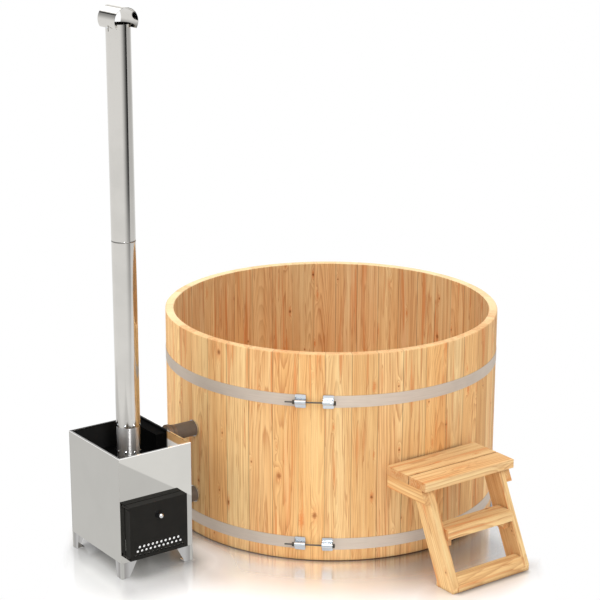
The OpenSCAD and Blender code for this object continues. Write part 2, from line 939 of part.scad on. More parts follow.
// Bars along the firebox, on two cross bars that rest on the walls' feet
module fire_grate() {
    front = boiler_y0 + 2 * plate_t + 2 * seat;
    back = fire_y1 - plate_t - seat;
    inner_x0 = fire_x0 + plate_t + seat;
    inner_w = fire_x1 - fire_x0 - 2 * (plate_t + seat);
    bar_pitch = (inner_w - grate_bar_d) / (grate_bar_count - 1);
    leg_h = grate_z - fire_z0 - plate_t - seat;
    color(dark_steel)
        union() {
            for (i = [0 : grate_bar_count - 1])
                translate([inner_x0 + i * bar_pitch, front + over, grate_z])
                    cube([grate_bar_d, back - front - 2 * over, grate_bar_d]);
            for (y = [front + grate_cross_in, back - grate_cross_in - grate_bar_d]) {
                translate([inner_x0, y, grate_z - grate_bar_d])
                    cube([inner_w, grate_bar_d, grate_bar_d + over]);
                for (x = [inner_x0, inner_x0 + inner_w - grate_bar_d])
                    translate([x, y, grate_z - leg_h])
                        cube([grate_bar_d, grate_bar_d, leg_h]);
            }
        }
}

module ash_pan() {
    margin = grate_bar_d + pan_gap;
    x0 = fire_x0 + plate_t + margin;
    y0 = boiler_y0 + 2 * plate_t + pan_gap;
    z0 = fire_z0 + plate_t + seat;
    width = fire_x1 - fire_x0 - 2 * (plate_t + margin);
    depth = fire_y1 - plate_t - pan_gap - y0;
    color(steel)
        difference() {
            translate([x0, y0, z0])
                cube([width, depth, pan_h]);
            translate([x0 + pan_t, y0 + pan_t, z0 + pan_t])
                cube([width - 2 * pan_t, depth - 2 * pan_t, pan_h]);
        }
}

// Two lugs on the case's front that carry the hinge rod
module door_lugs() {
    color(steel)
        for (z = hinge_lug_lows)
            translate([hinge_x, hinge_y, z])
                difference() {
                    union() {
                        cylinder(r = hinge_lug_r, h = hinge_lug_t);
                        translate([-hinge_lug_r, 0, 0])
                            cube([2 * hinge_lug_r, hinge_out - seat, hinge_lug_t]);
                    }
                    translate([0, 0, -over])
                        cylinder(r = hinge_d / 2 + run_gap, h = hinge_lug_t + 2 * over);
                }
}

module air_holes() {
    for (row = [0 : air_row_count - 1]) {
        count = air_top_count + air_row_count - 1 - row;
        z = door_bottom + air_row_z + row * air_row_rise;
        for (i = [0 : count - 1])
            translate([door_mid + (i - (count - 1) / 2) * air_hole_pitch, door_y0 - over, z])
                rotate([-90, 0, 0])
                    cylinder(d = air_hole_d, h = door_t + 2 * over);
    }
}

// Shallow tray, open towards the case, with cut-outs for the hinge lugs in its left side
module door_tray() {
    color(black)
        difference() {
            translate([door_x0, door_y0, door_bottom])
                cube([door_w, door_d, door_h]);
            translate([door_x0 + door_t, door_y0 + door_t, door_bottom + door_t])
                cube([door_w - 2 * door_t, door_d, door_h - 2 * door_t]);
            for (z = hinge_lug_lows)
                translate([door_x0 - over, door_y0 + door_t, z - hinge_lug_clear])
                    cube([door_t + 2 * over, door_d, hinge_notch]);
            air_holes();
        }
}

// Bright plate behind the air holes, held by its ends
module door_baffle() {
    x0 = hinge_x + hinge_d / 2 + baffle_hinge_gap;
    x1 = door_x1 - door_t - seat;
    width = x1 - x0;
    height = baffle_z1 - baffle_z0;
    tab = baffle_y - door_y0 - door_t - seat;
    color(steel)
        union() {
            translate([x0, baffle_y, baffle_z0])
                cube([width, baffle_t, height]);
            for (x = [x0, x1 - baffle_t])
                translate([x, baffle_y - tab, baffle_z0])
                    cube([baffle_t, tab + baffle_t / 2, height]);
        }
}

module hinge_rod() {
    color(steel)
        translate([hinge_x, hinge_y, door_bottom + door_t + seat])
            cylinder(d = hinge_d, h = door_h - 2 * (door_t + seat));
}

module knob_rose() {
    color(black)
        translate([door_mid, door_y0 - seat, door_bottom + knob_z])
            rotate([90, 0, 0])
                difference() {
                    cylinder(d1 = rose_d, d2 = rose_d - 2 * rose_bevel, h = rose_t);
                    translate([0, 0, -over])
                        cylinder(d = neck_d + neck_clear, h = rose_t + 2 * over);
                }
}

module door_knob() {
    color(zinc)
        translate([door_mid, door_y0 - seat, door_bottom + knob_z])
            rotate([90, 0, 0]) {
                cylinder(d = neck_d, h = knob_reach);
                translate([0, 0, knob_reach])
                    sphere(d = knob_d);
            }
}

// Upright tube around the chimney's axis
module flue_tube(r, wall, z0, z1) {
    translate([pipe_x, pipe_y, z0])
        difference() {
            cylinder(r = r, h = z1 - z0);
            translate([0, 0, -over])
                cylinder(r = r - wall, h = z1 - z0 + 2 * over);
        }
}

module flue_spigot() {
    color(dark_steel)
        flue_tube(spigot_r, spigot_t, spigot_z0, spigot_z1);
}

module flue_collar() {
    color(steel)
        flue_tube(collar_r, collar_t, collar_z0, collar_z1);
}

// Ring of rivets that join two tubes, with heads on the outer one
module rivet_ring(outer, inner, z) {
    for (k = [0 : rivet_count - 1])
        translate([pipe_x, pipe_y, z])
            at_azimuth(k * 360 / rivet_count)
                rotate([90, 0, 0]) {
                    translate([0, 0, inner])
                        cylinder(d = rivet_d / 2, h = outer - inner + rivet_head_t / 2);
                    translate([0, 0, outer])
                        cylinder(d1 = rivet_d, d2 = rivet_d / 2, h = rivet_head_t);
                }
}

module flue_rivets() {
    color(zinc) {
        rivet_ring(collar_r, spigot_r - spigot_t, rivet_low_z);
        rivet_ring(pipe_r, collar_r - collar_t, rivet_high_z);
    }
}

module lower_pipe() {
    color(steel)
        flue_tube(pipe_r, pipe_t, lower_pipe_z, pipe_joint_z - seat);
}

// Upper pipe, with a narrower neck that slides into the lower pipe
module upper_pipe() {
    color(steel)
        translate([pipe_x, pipe_y, 0])
            rotate_extrude()
                polygon([
                    [neck_r - neck_t, pipe_joint_z - pipe_neck],
                    [neck_r, pipe_joint_z - pipe_neck],
                    [neck_r, pipe_joint_z],
                    [pipe_r, pipe_joint_z],
                    [pipe_r, pipe_top_z],
                    [pipe_bore_r, pipe_top_z],
                    [pipe_bore_r, pipe_joint_z + neck_shoulder],
                    [neck_r - neck_t, pipe_joint_z + neck_shoulder]
                ]);
}

// Strip bent into an open-ended cylinder over the pipe, with two tabs down the pipe's sides
module rain_cap() {
    tab_x = pipe_r + seat;
    tab_top = cap_z - sqrt(pow(cap_r, 2) - pow(tab_x, 2)) + cap_t;
    color(steel)
        difference() {
            union() {
                translate([pipe_x, pipe_y - cap_l / 2, cap_z])
                    rotate([-90, 0, 0])
                        rotate([0, 0, 180 - cap_end])
                            rotate_extrude(angle = 180 + 2 * cap_end)
                                translate([cap_r, 0])
                                    square([cap_t, cap_l]);
                for (side = [-1, 1])
                    translate([pipe_x + side * (tab_x + cap_t / 2) - cap_t / 2, pipe_y - tab_w / 2,
                               cap_z - tab_drop - cap_rise])
                        cube([cap_t, tab_w, tab_top - cap_z + tab_drop + cap_rise]);
            }
            translate([pipe_x, pipe_y, pipe_top_z - tab_drop - 2 * cap_rise])
                cylinder(r = pipe_r + seat, h = tab_drop + 2 * cap_rise + seat);
        }
}

module cap_rivets() {
    color(zinc)
        translate([pipe_x, pipe_y, pipe_top_z - tab_drop / 2])
            for (side = [-1, 1])
                rotate([0, side * 90, 0]) {
                    translate([0, 0, pipe_bore_r - over])
                        cylinder(d = rivet_d / 3, h = pipe_t + seat + cap_t + over);
                    translate([0, 0, pipe_r + seat + cap_t])
                        cylinder(d = rivet_d * 0.7, h = rivet_head_t / 2);
                }
}

module water_stubs() {
    starts = [boiler_x1 - plate_t / 2, boiler_x1 - plate_t];
    color(zinc)
        for (i = [0, 1])
            translate([starts[i], hose_y, hose_levels[i]])
                rotate([0, 90, 0])
                    difference() {
                        cylinder(r = stub_r, h = hose_x0 + stub_grip - starts[i]);
                        translate([0, 0, -over])
                            cylinder(d = water_bore, h = hose_x0 + stub_grip - starts[i] + 2 * over);
                    }
}

// Ring of the union nut on each stub, against the hose's end
module union_nuts() {
    color(zinc)
        for (z = hose_levels)
            translate([hose_x0 - seat - union_w, hose_y, z])
                rotate([0, 90, 0])
                    difference() {
                        cylinder(d = union_d, h = union_w);
                        translate([0, 0, -over])
                            cylinder(r = stub_r + run_gap, h = union_w + 2 * over);
                    }
}

module water_hose(z) {
    color(rubber)
        translate([hose_x0, hose_y, z])
            rotate([0, 90, 0])
                difference() {
                    cylinder(r = hose_r, h = hose_x1 - hose_x0);
                    translate([0, 0, -over])
                        cylinder(d = hose_bore, h = hose_x1 - hose_x0 + 2 * over);
                }
}

// Clip round each hose at the stove, with its screw housing away from the steps
module hose_clips() {
    color(zinc)
        for (z = hose_levels)
            translate([hose_x0 + clip_in, hose_y, z])
                rotate([0, 90, 0])
                    difference() {
                        union() {
                            cylinder(r = hose_r + run_gap + clip_t, h = clip_w);
                            translate([-clip_screw / 2, 0, 0])
                                cube([clip_screw, hose_r + clip_screw / 2, clip_w]);
                        }
                        translate([0, 0, -over])
                            cylinder(r = hose_r + run_gap, h = clip_w + 2 * over);
                    }
}

module step_board(y0, depth) {
    color(wood)
        translate([deck_x0, y0, deck_z])
            cube([deck_w, depth, step_t]);
}

// Board seen from the side, given by its points along Y and Z
module side_board(x, width, points) {
    color(wood)
        translate([x, 0, 0])
            rotate([90, 0, 90])
                linear_extrude(width)
                    polygon(points);
}

// Cleat with its front end cut along the legs' lean
module deck_cleat(x) {
    side_board(x, cleat_t, [
        [lean_y(cleat_z), cleat_z],
        [cleat_y1, cleat_z],
        [cleat_y1, deck_z],
        [lean_y(deck_z), deck_z]
    ]);
}

// Board that stands upright at its foot and leans back above it, with a level depth
module leaning_board(x, width, depth, top) {
    side_board(x, width, [
        [foot_y, 0],
        [foot_y + depth, 0],
        [foot_y + depth, foot_h],
        [lean_y(top) + depth, top],
        [lean_y(top), top],
        [foot_y, foot_h]
    ]);
}

module lower_tread() {
    color(wood)
        translate([tread_x0, tread_y0, tread_z])
            cube([tread_w, tread_d, tread_t]);
}

module tread_cleats() {
    color(wood)
        for (x = [tread_x0, tread_x0 + tread_w - tread_cleat_t])
            translate([x, tread_cleat_y0, tread_z - tread_cleat_h])
                cube([tread_cleat_t, tread_cleat_l, tread_cleat_h]);
}

// Screw with its head at the origin, pointing along +Z
module wood_screw() {
    cylinder(d = screw_head_d, h = screw_head_t);
    cylinder(d = screw_d, h = screw_l);
}

// Hidden screws: up through the cleats into the boards, and out from the legs into the cleats
module step_screws() {
    board_ys = [lean_y(deck_z) + screw_edge, front_y1 - screw_edge,
                back_y0 + screw_edge, back_y1 - screw_back_edge];
    leg_y = lean_y(cleat_z + cleat_h / 2) + leg_board_d / 2;
    left_mid = deck_x0 + cleat_in + cleat_t / 2;
    right_mid = deck_x1 - cleat_in - cleat_t / 2;
    color(zinc) {
        for (x = [left_mid, right_mid], y = board_ys)
            translate([x, y, deck_z + screw_bite - screw_l])
                wood_screw();
        for (dy = [-screw_half_pitch, screw_half_pitch]) {
            translate([tread_x0 - over, leg_y + dy, cleat_z + cleat_h / 2])
                rotate([0, -90, 0])
                    wood_screw();
            translate([right_leg_x + over, leg_y + dy, cleat_z + cleat_h / 2])
                rotate([0, 90, 0])
                    wood_screw();
        }
        for (y = [tread_cleat_y0 + tread_screw_in, tread_cleat_y0 + tread_cleat_l - tread_screw_in]) {
            translate([tread_x0 + tread_cleat_t - over, y, tread_z - tread_cleat_h / 2])
                rotate([0, -90, 0])
                    wood_screw();
            translate([right_leg_x - tread_cleat_t + over, y, tread_z - tread_cleat_h / 2])
                rotate([0, 90, 0])
                    wood_screw();
        }
    }
}

wall_staves(1);  // wall_staves_1
wall_staves(2);  // wall_staves_2
wall_staves(3);  // wall_staves_3
wall_staves(4);  // wall_staves_4
wall_staves(5);  // wall_staves_5
wall_staves(6);  // wall_staves_6
floor_boards();
floor_bearers();
bench_boards();
bench_rails();
bench_uprights();
band(upper_band_z);  // upper_band
band(lower_band_z);  // lower_band
clamp(upper_band_z);  // upper_clamp
clamp(lower_band_z);  // lower_clamp
tension_bolts();
tension_nuts();
water_fittings();
fitting_nuts();
drain_body();
drain_plug();
case_left();
case_right();
case_back();
case_front();
case_floor();
stove_legs();
boiler_shell();
firebox();
flow_header();
fire_grate();
ash_pan();
door_lugs();
door_tray();
door_baffle();
hinge_rod();
knob_rose();
door_knob();
flue_spigot();
flue_collar();
flue_rivets();
lower_pipe();
upper_pipe();
rain_cap();
cap_rivets();
water_stubs();
union_nuts();
water_hose(flow_z);  // flow_hose
water_hose(return_z);  // return_hose
hose_clips();
step_board(back_y0, back_board_d);  // deck_back_board
step_board(front_y0, front_board_d);  // deck_front_board
deck_cleat(deck_x0 + cleat_in);  // left_cleat
deck_cleat(deck_x1 - cleat_in - cleat_t);  // right_cleat
leaning_board(left_leg_x, leg_board_t, leg_board_d, deck_z);  // left_leg
leaning_board(right_leg_x, leg_board_t, leg_board_d, deck_z);  // right_leg
lower_tread();
tread_cleats();
leaning_board(tread_x0, tread_w, rail_t, rail_h);  // bottom_rail
step_screws();
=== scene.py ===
import math

import bpy
from mathutils import Matrix, Vector


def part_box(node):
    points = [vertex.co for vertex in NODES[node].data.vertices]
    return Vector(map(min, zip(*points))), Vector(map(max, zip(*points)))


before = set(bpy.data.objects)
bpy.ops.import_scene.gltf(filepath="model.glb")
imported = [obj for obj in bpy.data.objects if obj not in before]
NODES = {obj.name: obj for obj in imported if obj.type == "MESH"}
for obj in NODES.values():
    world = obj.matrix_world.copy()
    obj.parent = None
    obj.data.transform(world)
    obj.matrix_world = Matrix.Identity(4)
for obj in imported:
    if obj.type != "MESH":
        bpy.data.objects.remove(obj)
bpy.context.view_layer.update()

# ---------------------------------------------------------------- sizes, in metres
CAMERA_PLACE = (-5.6065, -7.4862, 3.8423)
CAMERA_TURN = math.radians(-35.792)
CAMERA_DIP = math.radians(16.162)
CAMERA_ROLL = math.radians(0.152)
CAMERA_LENS = 107.435
SENSOR = 36.0  # lens and sensor width in millimetres
CAMERA_REACH = 100.0

STAVE_COUNT = 42
STAVE_SEED = 5.0  # number of the first stave, from which its grain is drawn
BAND_OUT = 0.0018  # how far the bands stand out from the wall
TUB_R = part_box("upper_band")[1].y - BAND_OUT
STAVE_T = 0.045
INNER_R = TUB_R - STAVE_T
CASE_X0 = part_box("case_left")[0].x
CASE_X1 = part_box("case_right")[1].x
CASE_Y0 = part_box("case_front")[0].y
CASE_Y1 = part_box("case_back")[1].y
PIPE_LOW, PIPE_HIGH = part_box("lower_pipe")
PIPE_X = (PIPE_LOW.x + PIPE_HIGH.x) / 2
PIPE_Y = (PIPE_LOW.y + PIPE_HIGH.y) / 2
STEPS_X0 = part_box("deck_front_board")[0].x
STEPS_X1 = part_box("deck_front_board")[1].x
STEPS_Y0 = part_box("left_leg")[0].y
STEPS_Y1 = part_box("deck_back_board")[1].y
# Fixed level directions of the photo: to the viewer and to the right at the stove,
# and to the right at the tub
VIEW_OUT = Vector((-0.4997, -0.8662))
VIEW_RIGHT = Vector((0.8662, -0.4997))
SIDEWAYS = Vector((0.811, -0.585))
X_AXIS, Y_AXIS, Z_AXIS = (1.0, 0.0, 0.0), (0.0, 1.0, 0.0), (0.0, 0.0, 1.0)


# ---------------------------------------------------------------- shader helpers
class Graph:
    """Short calls for building the nodes of one material, or with studio of one world."""

    def __init__(self, name, studio=False):
        self.owner = (bpy.data.worlds if studio else bpy.data.materials).new(name)
        self.owner.use_nodes = True
        self.tree = self.owner.node_tree
        self.tree.nodes.clear()
        self.out = self.node("ShaderNodeOutputWorld" if studio else "ShaderNodeOutputMaterial")

    def node(self, kind, **props):
        made = self.tree.nodes.new(kind)
        for key, value in props.items():
            setattr(made, key, value)
        return made

    def put(self, socket, value):
        if isinstance(value, bpy.types.NodeSocket):
            self.tree.links.new(value, socket)
        elif value is not None:
            socket.default_value = value

    def math(self, operation, a, b=None):
        made = self.node("ShaderNodeMath", operation=operation)
        for socket, value in zip(made.inputs, (a, b)):
            self.put(socket, value)
        return made.outputs[0]

    def add(self, a, b):
        return self.math("ADD", a, b)

    def sub(self, a, b):
        return self.math("SUBTRACT", a, b)

    def mul(self, a, b):
        return self.math("MULTIPLY", a, b)

    def far(self, a, b):
        """Length of a line with the sides a and b."""
        return self.math("SQRT", self.add(self.mul(a, a), self.mul(b, b)))

    def between(self, share, a, b):
        """Value from a at share 0 to b at share 1."""
        return self.add(a, self.mul(share, self.sub(b, a)))

    def smooth(self, value, low, high, to_low=0.0, to_high=1.0):
        """Smooth step from low to high, as a value from to_low to to_high."""
        made = self.node("ShaderNodeMapRange", interpolation_type="SMOOTHSTEP")
        for key, item in (("Value", value), ("From Min", low), ("From Max", high),
                          ("To Min", to_low), ("To Max", to_high)):
            self.put(made.inputs[key], item)
        return made.outputs[0]

    def place(self):
        """Point in the object's own frame, split into X, Y and Z."""
        return self.split(self.point())

    def point(self):
        return self.node("ShaderNodeTexCoord").outputs["Object"]

    def normal(self):
        return self.node("ShaderNodeNewGeometry").outputs["Normal"]

    def vector(self, x, y, z):
        made = self.node("ShaderNodeCombineXYZ")
        for socket, value in zip(made.inputs, (x, y, z)):
            self.put(socket, value)
        return made.outputs[0]

    def split(self, vector):
        made = self.node("ShaderNodeSeparateXYZ")
        self.put(made.inputs[0], vector)
        return made.outputs[0], made.outputs[1], made.outputs[2]

    def noise(self, vector, scale, detail=2.0, rough=0.5, distortion=0.0):
        made = self.node("ShaderNodeTexNoise")
        self.put(made.inputs["Vector"], vector)
        made.inputs["Scale"].default_value = scale
        made.inputs["Detail"].default_value = detail
        made.inputs["Roughness"].default_value = rough
        made.inputs["Distortion"].default_value = distortion
        return made.outputs["Fac"]

    def drawn_marks(self, grain):
        """Fine marks with so many waves a metre along X, Y and Z."""
        x, y, z = self.place()
        stretched = self.vector(self.mul(x, grain[0]), self.mul(y, grain[1]), self.mul(z, grain[2]))
        return self.noise(stretched, 1.0, 3.0, 0.6)

    def random(self, seed):
        """Three random values, each from 0 to 1, for a number."""
        made = self.node("ShaderNodeTexWhiteNoise", noise_dimensions="1D")
        self.put(made.inputs["W"], seed)
        return self.split(made.outputs["Color"])

    def vector_math(self, operation, a, b=None, output="Vector"):
        made = self.node("ShaderNodeVectorMath", operation=operation)
        self.put(made.inputs[0], a)
        self.put(made.inputs[1], b)
        return made.outputs[output]

    def dot(self, vector, direction):
        return self.vector_math("DOT_PRODUCT", vector, tuple(direction), "Value")

    def times(self, color, factor):
        """Colour multiplied by another colour."""
        return self.mix(1.0, color, factor, "MULTIPLY")

    def gray(self, value):
        made = self.node("ShaderNodeCombineColor")
        for socket in made.inputs:
            self.put(socket, value)
        return made.outputs[0]

    def mix(self, factor, a, b, blend="MIX"):
        made = self.node("ShaderNodeMix", data_type="RGBA", blend_type=blend)
        self.put(made.inputs[0], factor)
        self.put(made.inputs[6], a)
        self.put(made.inputs[7], b)
        return made.outputs[2]

    def mix_shader(self, share, a, b):
        """Node that shows shader a at share 0 and b at share 1."""
        made = self.node("ShaderNodeMixShader")
        for socket, value in zip(made.inputs, (share, a.outputs[0], b.outputs[0])):
            self.put(socket, value)
        return made

    def bump(self, height, strength, distance, normal=None):
        made = self.node("ShaderNodeBump")
        made.inputs["Strength"].default_value = strength
        made.inputs["Distance"].default_value = distance
        self.put(made.inputs["Height"], height)
        self.put(made.inputs["Normal"], normal)
        return made.outputs[0]

    def surface(self, color, roughness, metallic=0.0, normal=None, calm=False, **more):
        """Principled surface as the material's output. Metal throws no sharp light spots on dull things,
        and with calm none on the polished floor."""
        if metallic != 0.0:
            path = self.node("ShaderNodeLightPath")
            dull = self.mul(path.outputs["Is Diffuse Ray"], 0.9)
            if calm:
                dull = self.math("MAXIMUM", dull, self.mul(path.outputs["Is Glossy Ray"], 0.9))
            roughness = self.math("MAXIMUM", roughness, dull)
        made = self.node("ShaderNodeBsdfPrincipled")
        self.put(made.inputs["Base Color"], color)
        self.put(made.inputs["Roughness"], roughness)
        self.put(made.inputs["Metallic"], metallic)
        self.put(made.inputs["Normal"], normal)
        for key, value in more.items():
            self.put(made.inputs[key.replace("_", " ")], value)
        self.put(self.out.inputs["Surface"], made.outputs[0])
        return self.owner


def shade(value):
    """Colour written as sRGB shares, as the linear colour that the sockets take."""
    linear = [v / 12.92 if v <= 0.04045 else ((v + 0.055) / 1.055) ** 2.4 for v in value]
    return (*linear, 1.0)


# ---------------------------------------------------------------- wood
WOOD_PALE = shade((0.965, 0.840, 0.610))
WOOD_BASE = shade((0.925, 0.740, 0.495))
WOOD_DEEP = shade((0.875, 0.640, 0.395))
WOOD_LATE = shade((0.740, 0.460, 0.240))
WOOD_AMBER = shade((0.865, 0.530, 0.280))
WOOD_KNOT = shade((0.480, 0.270, 0.130))
WOOD_KNOT_RIM = shade((0.720, 0.440, 0.230))
# Colour of the open joints between staves, and of the painted shade in crevices
WOOD_SEAM_AND_SHADE = shade((0.480, 0.290, 0.150))
WOOD_RIM_HIGHLIGHT = shade((0.985, 0.900, 0.720))
WOOD_INSIDE_SHADE = shade((0.960, 0.990, 1.050))
STAVE_WARM = (1.02, 0.975, 0.90, 1.0)
STAVE_COOL = (1.0, 1.01, 1.04, 1.0)
RING_PITCH = 0.0085
KNOT_CELL_U = 0.17
KNOT_CELL_V = 0.30
KNOT_SHARE = 0.34  # of the cells
FLAME_SHARE = 0.80
CREVICE_SHADE_REACH = 0.030  # how far the painted shade in crevices reaches


def wood_grain(g, u, v, w, board):
    """Colour and height of a sawn board: u across it, v along the grain, w through it, in metres."""
    r1, r2, r3 = g.random(board)
    r4, r5, r6 = g.random(g.add(board, 71.3))
    shift = g.mul(board, 13.7)

    def streaks(across, along, detail=2.0, rough=0.5):
        """Noise drawn out along the grain, with so many waves a metre each way."""
        place = g.vector(g.add(g.mul(u, across), shift), g.mul(v, along), g.mul(w, across))
        return g.noise(place, 1.0, detail, rough)

    # Knots and amber flames, one at most in each cell of the board
    cell = g.node("ShaderNodeTexVoronoi", voronoi_dimensions="2D", feature="F1")
    cell.inputs["Scale"].default_value = 1.0
    cell.inputs["Randomness"].default_value = 0.85
    cell_u = g.add(g.math("DIVIDE", u, KNOT_CELL_U), shift)
    cell_v = g.add(g.math("DIVIDE", v, KNOT_CELL_V), shift)
    at = g.vector(cell_u, cell_v, 0.0)
    g.put(cell.inputs["Vector"], at)
    du, dv, _ = g.split(g.vector_math("SUBTRACT", cell.outputs["Position"], at))
    du = g.mul(du, KNOT_CELL_U)
    dv = g.mul(dv, KNOT_CELL_V)
    c1, c2, c3 = g.split(cell.outputs["Color"])
    size = g.smooth(g.mul(c2, c2), 0.0, 1.0, 0.0034, 0.0095)
    edge = g.mul(g.sub(g.noise(g.vector(du, dv, c1), 190.0, 2.0), 0.5), 1.1)

    def oval(wide, tall):
        """Distance from the knot's middle, 1 on an oval of so many knot sizes."""
        return g.far(g.math("DIVIDE", du, g.mul(size, wide)), g.math("DIVIDE", dv, g.mul(size, tall)))

    near = g.add(oval(1.0, 1.35), edge)
    flame_far = oval(2.4, 9.0)
    is_knot = g.math("GREATER_THAN", c3, 1.0 - KNOT_SHARE)
    is_flame = g.math("GREATER_THAN", c3, 1.0 - FLAME_SHARE)
    knot = g.mul(g.smooth(near, 0.30, 1.10, 1.0, 0.0), is_knot)
    knot_rim = g.mul(g.smooth(near, 0.70, 2.00, 1.0, 0.0), is_knot)
    halo = g.mul(g.smooth(g.add(flame_far, edge), 0.0, 1.0, 1.0, 0.0), is_flame)
    swell = g.mul(g.math("EXPONENT", g.mul(g.mul(flame_far, flame_far), -1.0)), is_flame)
    # Year rings round a pith behind the board
    pith_u = g.mul(g.sub(r1, 0.5), 0.16)
    pith_w = g.smooth(r2, 0.0, 1.0, 0.012, 0.100)
    lean = g.mul(g.sub(r3, 0.5), 0.110)
    across = g.add(g.sub(u, pith_u), g.mul(g.sub(streaks(3.0, 0.9), 0.5), 0.100))
    behind = g.add(g.add(w, pith_w), g.add(g.mul(v, lean), g.mul(g.sub(streaks(2.6, 0.7), 0.5), 0.090)))
    radius = g.far(across, behind)
    pitch = g.smooth(r4, 0.0, 1.0, RING_PITCH * 0.75, RING_PITCH * 1.5)
    fine = streaks(60.0, 2.2, 3.0, 0.6)
    turns = g.add(g.math("DIVIDE", radius, pitch), g.add(g.mul(swell, 2.6), g.mul(fine, 0.75)))
    ring = g.math("FRACT", turns)
    late = g.mul(g.math("POWER", ring, 2.2), g.smooth(ring, 0.88, 1.0, 1.0, 0.0))
    fibre = streaks(420.0, 9.0, 2.0, 0.65)
    cords = streaks(95.0, 1.3, 2.0, 0.6)
    veins = g.math("ABSOLUTE", g.sub(streaks(34.0, 0.8, 3.0, 0.5), 0.5))
    flame = streaks(30.0, 1.3)
    broad = streaks(22.0, 0.9, 2.0, 0.55)
    wide = streaks(9.0, 0.6)
    # Colours
    color = g.mix(g.smooth(g.add(g.mul(r5, 0.40), broad), 0.42, 0.98), WOOD_PALE, WOOD_BASE)
    color = g.mix(g.smooth(g.add(g.mul(r6, 0.30), wide), 0.55, 0.95, 0.0, 0.42), color, WOOD_DEEP)
    color = g.mix(g.smooth(cords, 0.50, 0.72, 0.0, 0.36), color, WOOD_DEEP)
    color = g.mix(g.smooth(cords, 0.30, 0.46, 0.36, 0.0), color, WOOD_PALE)
    depth = g.mul(g.smooth(r6, 0.0, 1.0, 0.55, 1.0), g.smooth(broad, 0.32, 0.62, 0.50, 1.0))
    color = g.mix(g.mul(late, depth), color, WOOD_LATE)
    color = g.mix(g.smooth(flame, 0.57, 0.66, 0.0, 0.66), color, WOOD_AMBER)
    color = g.mix(g.smooth(g.math("ABSOLUTE", g.sub(flame, 0.59)), 0.004, 0.016, 0.50, 0.0), color, WOOD_LATE)
    color = g.mix(g.smooth(streaks(38.0, 1.1), 0.58, 0.68, 0.0, 0.60), color, WOOD_PALE)
    color = g.mix(g.smooth(veins, 0.004, 0.028, 0.34, 0.0), color, WOOD_LATE)
    color = g.mix(g.smooth(fibre, 0.45, 0.80, 0.0, 0.26), color, WOOD_LATE)
    color = g.mix(g.mul(halo, g.smooth(c1, 0.0, 1.0, 0.35, 0.95)), color, WOOD_AMBER)
    color = g.mix(g.mul(knot_rim, 0.70), color, WOOD_KNOT_RIM)
    color = g.mix(g.mul(knot, g.smooth(c1, 0.0, 1.0, 0.45, 0.95)), color, WOOD_KNOT)
    height = g.add(g.mul(late, 0.5), g.add(g.mul(fibre, 0.35), g.mul(knot, 0.5)))
    return color, height, (r1, r3, r4)


def wood_surface(g, color, height):
    """Planed wood with a dull sheen and painted shade where other parts come close; the late wood is a little
    smoother and stands up.
    """
    # Painted shade: ambient occlusion darkens the colour where other parts come close
    joint = g.node("ShaderNodeAmbientOcclusion", samples=6)
    joint.inputs["Distance"].default_value = CREVICE_SHADE_REACH
    color = g.mix(g.smooth(joint.outputs["AO"], 0.25, 0.80, 0.75, 0.0), color, WOOD_SEAM_AND_SHADE)
    rough = g.smooth(height, 0.0, 0.9, 0.66, 0.50)
    return g.surface(color, rough, normal=g.bump(height, 0.35, 0.0006), IOR=1.45, Specular_IOR_Level=0.30)


def stave_wood():
    """Wall staves: the board's number and its own frame come from the angle round the tub."""
    g = Graph("tub_stave_wood")
    x, y, z = g.place()
    turn = g.math("ARCTAN2", x, g.mul(y, -1.0))
    pitch = 2 * math.pi / STAVE_COUNT
    turns = g.math("DIVIDE", g.sub(turn, -math.pi / 2), pitch)
    number = g.math("FLOOR", turns)
    u = g.mul(g.sub(g.math("FRACT", turns), 0.5), pitch * TUB_R)
    radius = g.far(x, y)
    color, height, (r1, r3, r4) = wood_grain(g, u, z, g.sub(radius, TUB_R), g.add(number, STAVE_SEED))
    color = g.times(color, g.gray(g.smooth(r1, 0.0, 1.0, 0.92, 1.04)))
    color = g.times(color, g.mix(r4, STAVE_WARM, STAVE_COOL))
    # Painted shade: the inner face takes a tint for its look in the tub's own shade and bounce light
    inside = g.smooth(radius, INNER_R + 0.001, INNER_R + 0.004, 1.0, 0.0)
    color = g.mix(inside, color, g.times(color, WOOD_INSIDE_SHADE))
    # Joints between the staves, some tight and some open
    half = pitch * TUB_R / 2
    fade = g.noise(g.vector(number, g.mul(z, 4.0), 0.0), 1.0, 2.0, 0.6)
    open_joint = g.mul(g.smooth(r4, 0.0, 1.0, 0.35, 1.0), g.smooth(fade, 0.35, 0.60, 0.55, 1.0))
    seam = g.mul(g.smooth(g.math("ABSOLUTE", u), half - 0.0034, half - 0.0010), open_joint)
    color = g.mix(g.mul(seam, 0.85), color, WOOD_SEAM_AND_SHADE)
    top = g.smooth(g.dot(g.normal(), Z_AXIS), 0.30, 0.90)
    # The rim's end grain is painted paler at the sides and back as a highlight, and painted darker and tanned
    # on the side facing VIEW_OUT as shade
    front = g.math("DIVIDE", g.add(g.mul(x, VIEW_OUT.x), g.mul(y, VIEW_OUT.y)), TUB_R)
    rim_highlight = g.mul(g.smooth(front, 0.05, 0.55, 0.75, 0.28), g.smooth(r3, 0.0, 1.0, 0.55, 1.10))
    color = g.mix(g.mul(top, rim_highlight), color, WOOD_RIM_HIGHLIGHT)
    color = g.mix(g.mul(top, g.smooth(front, 0.05, 0.55, 0.0, 0.16)), color, WOOD_AMBER)
    # Darker in noisy patches towards the foot
    stain = g.noise(g.vector(g.mul(x, 9.0), g.mul(y, 9.0), g.mul(z, 20.0)), 1.0)
    color = g.mix(g.mul(g.smooth(z, 0.0, 0.13, 0.30, 0.0), stain), color, WOOD_LATE)
    return wood_surface(g, color, g.sub(height, g.mul(seam, 1.5)))


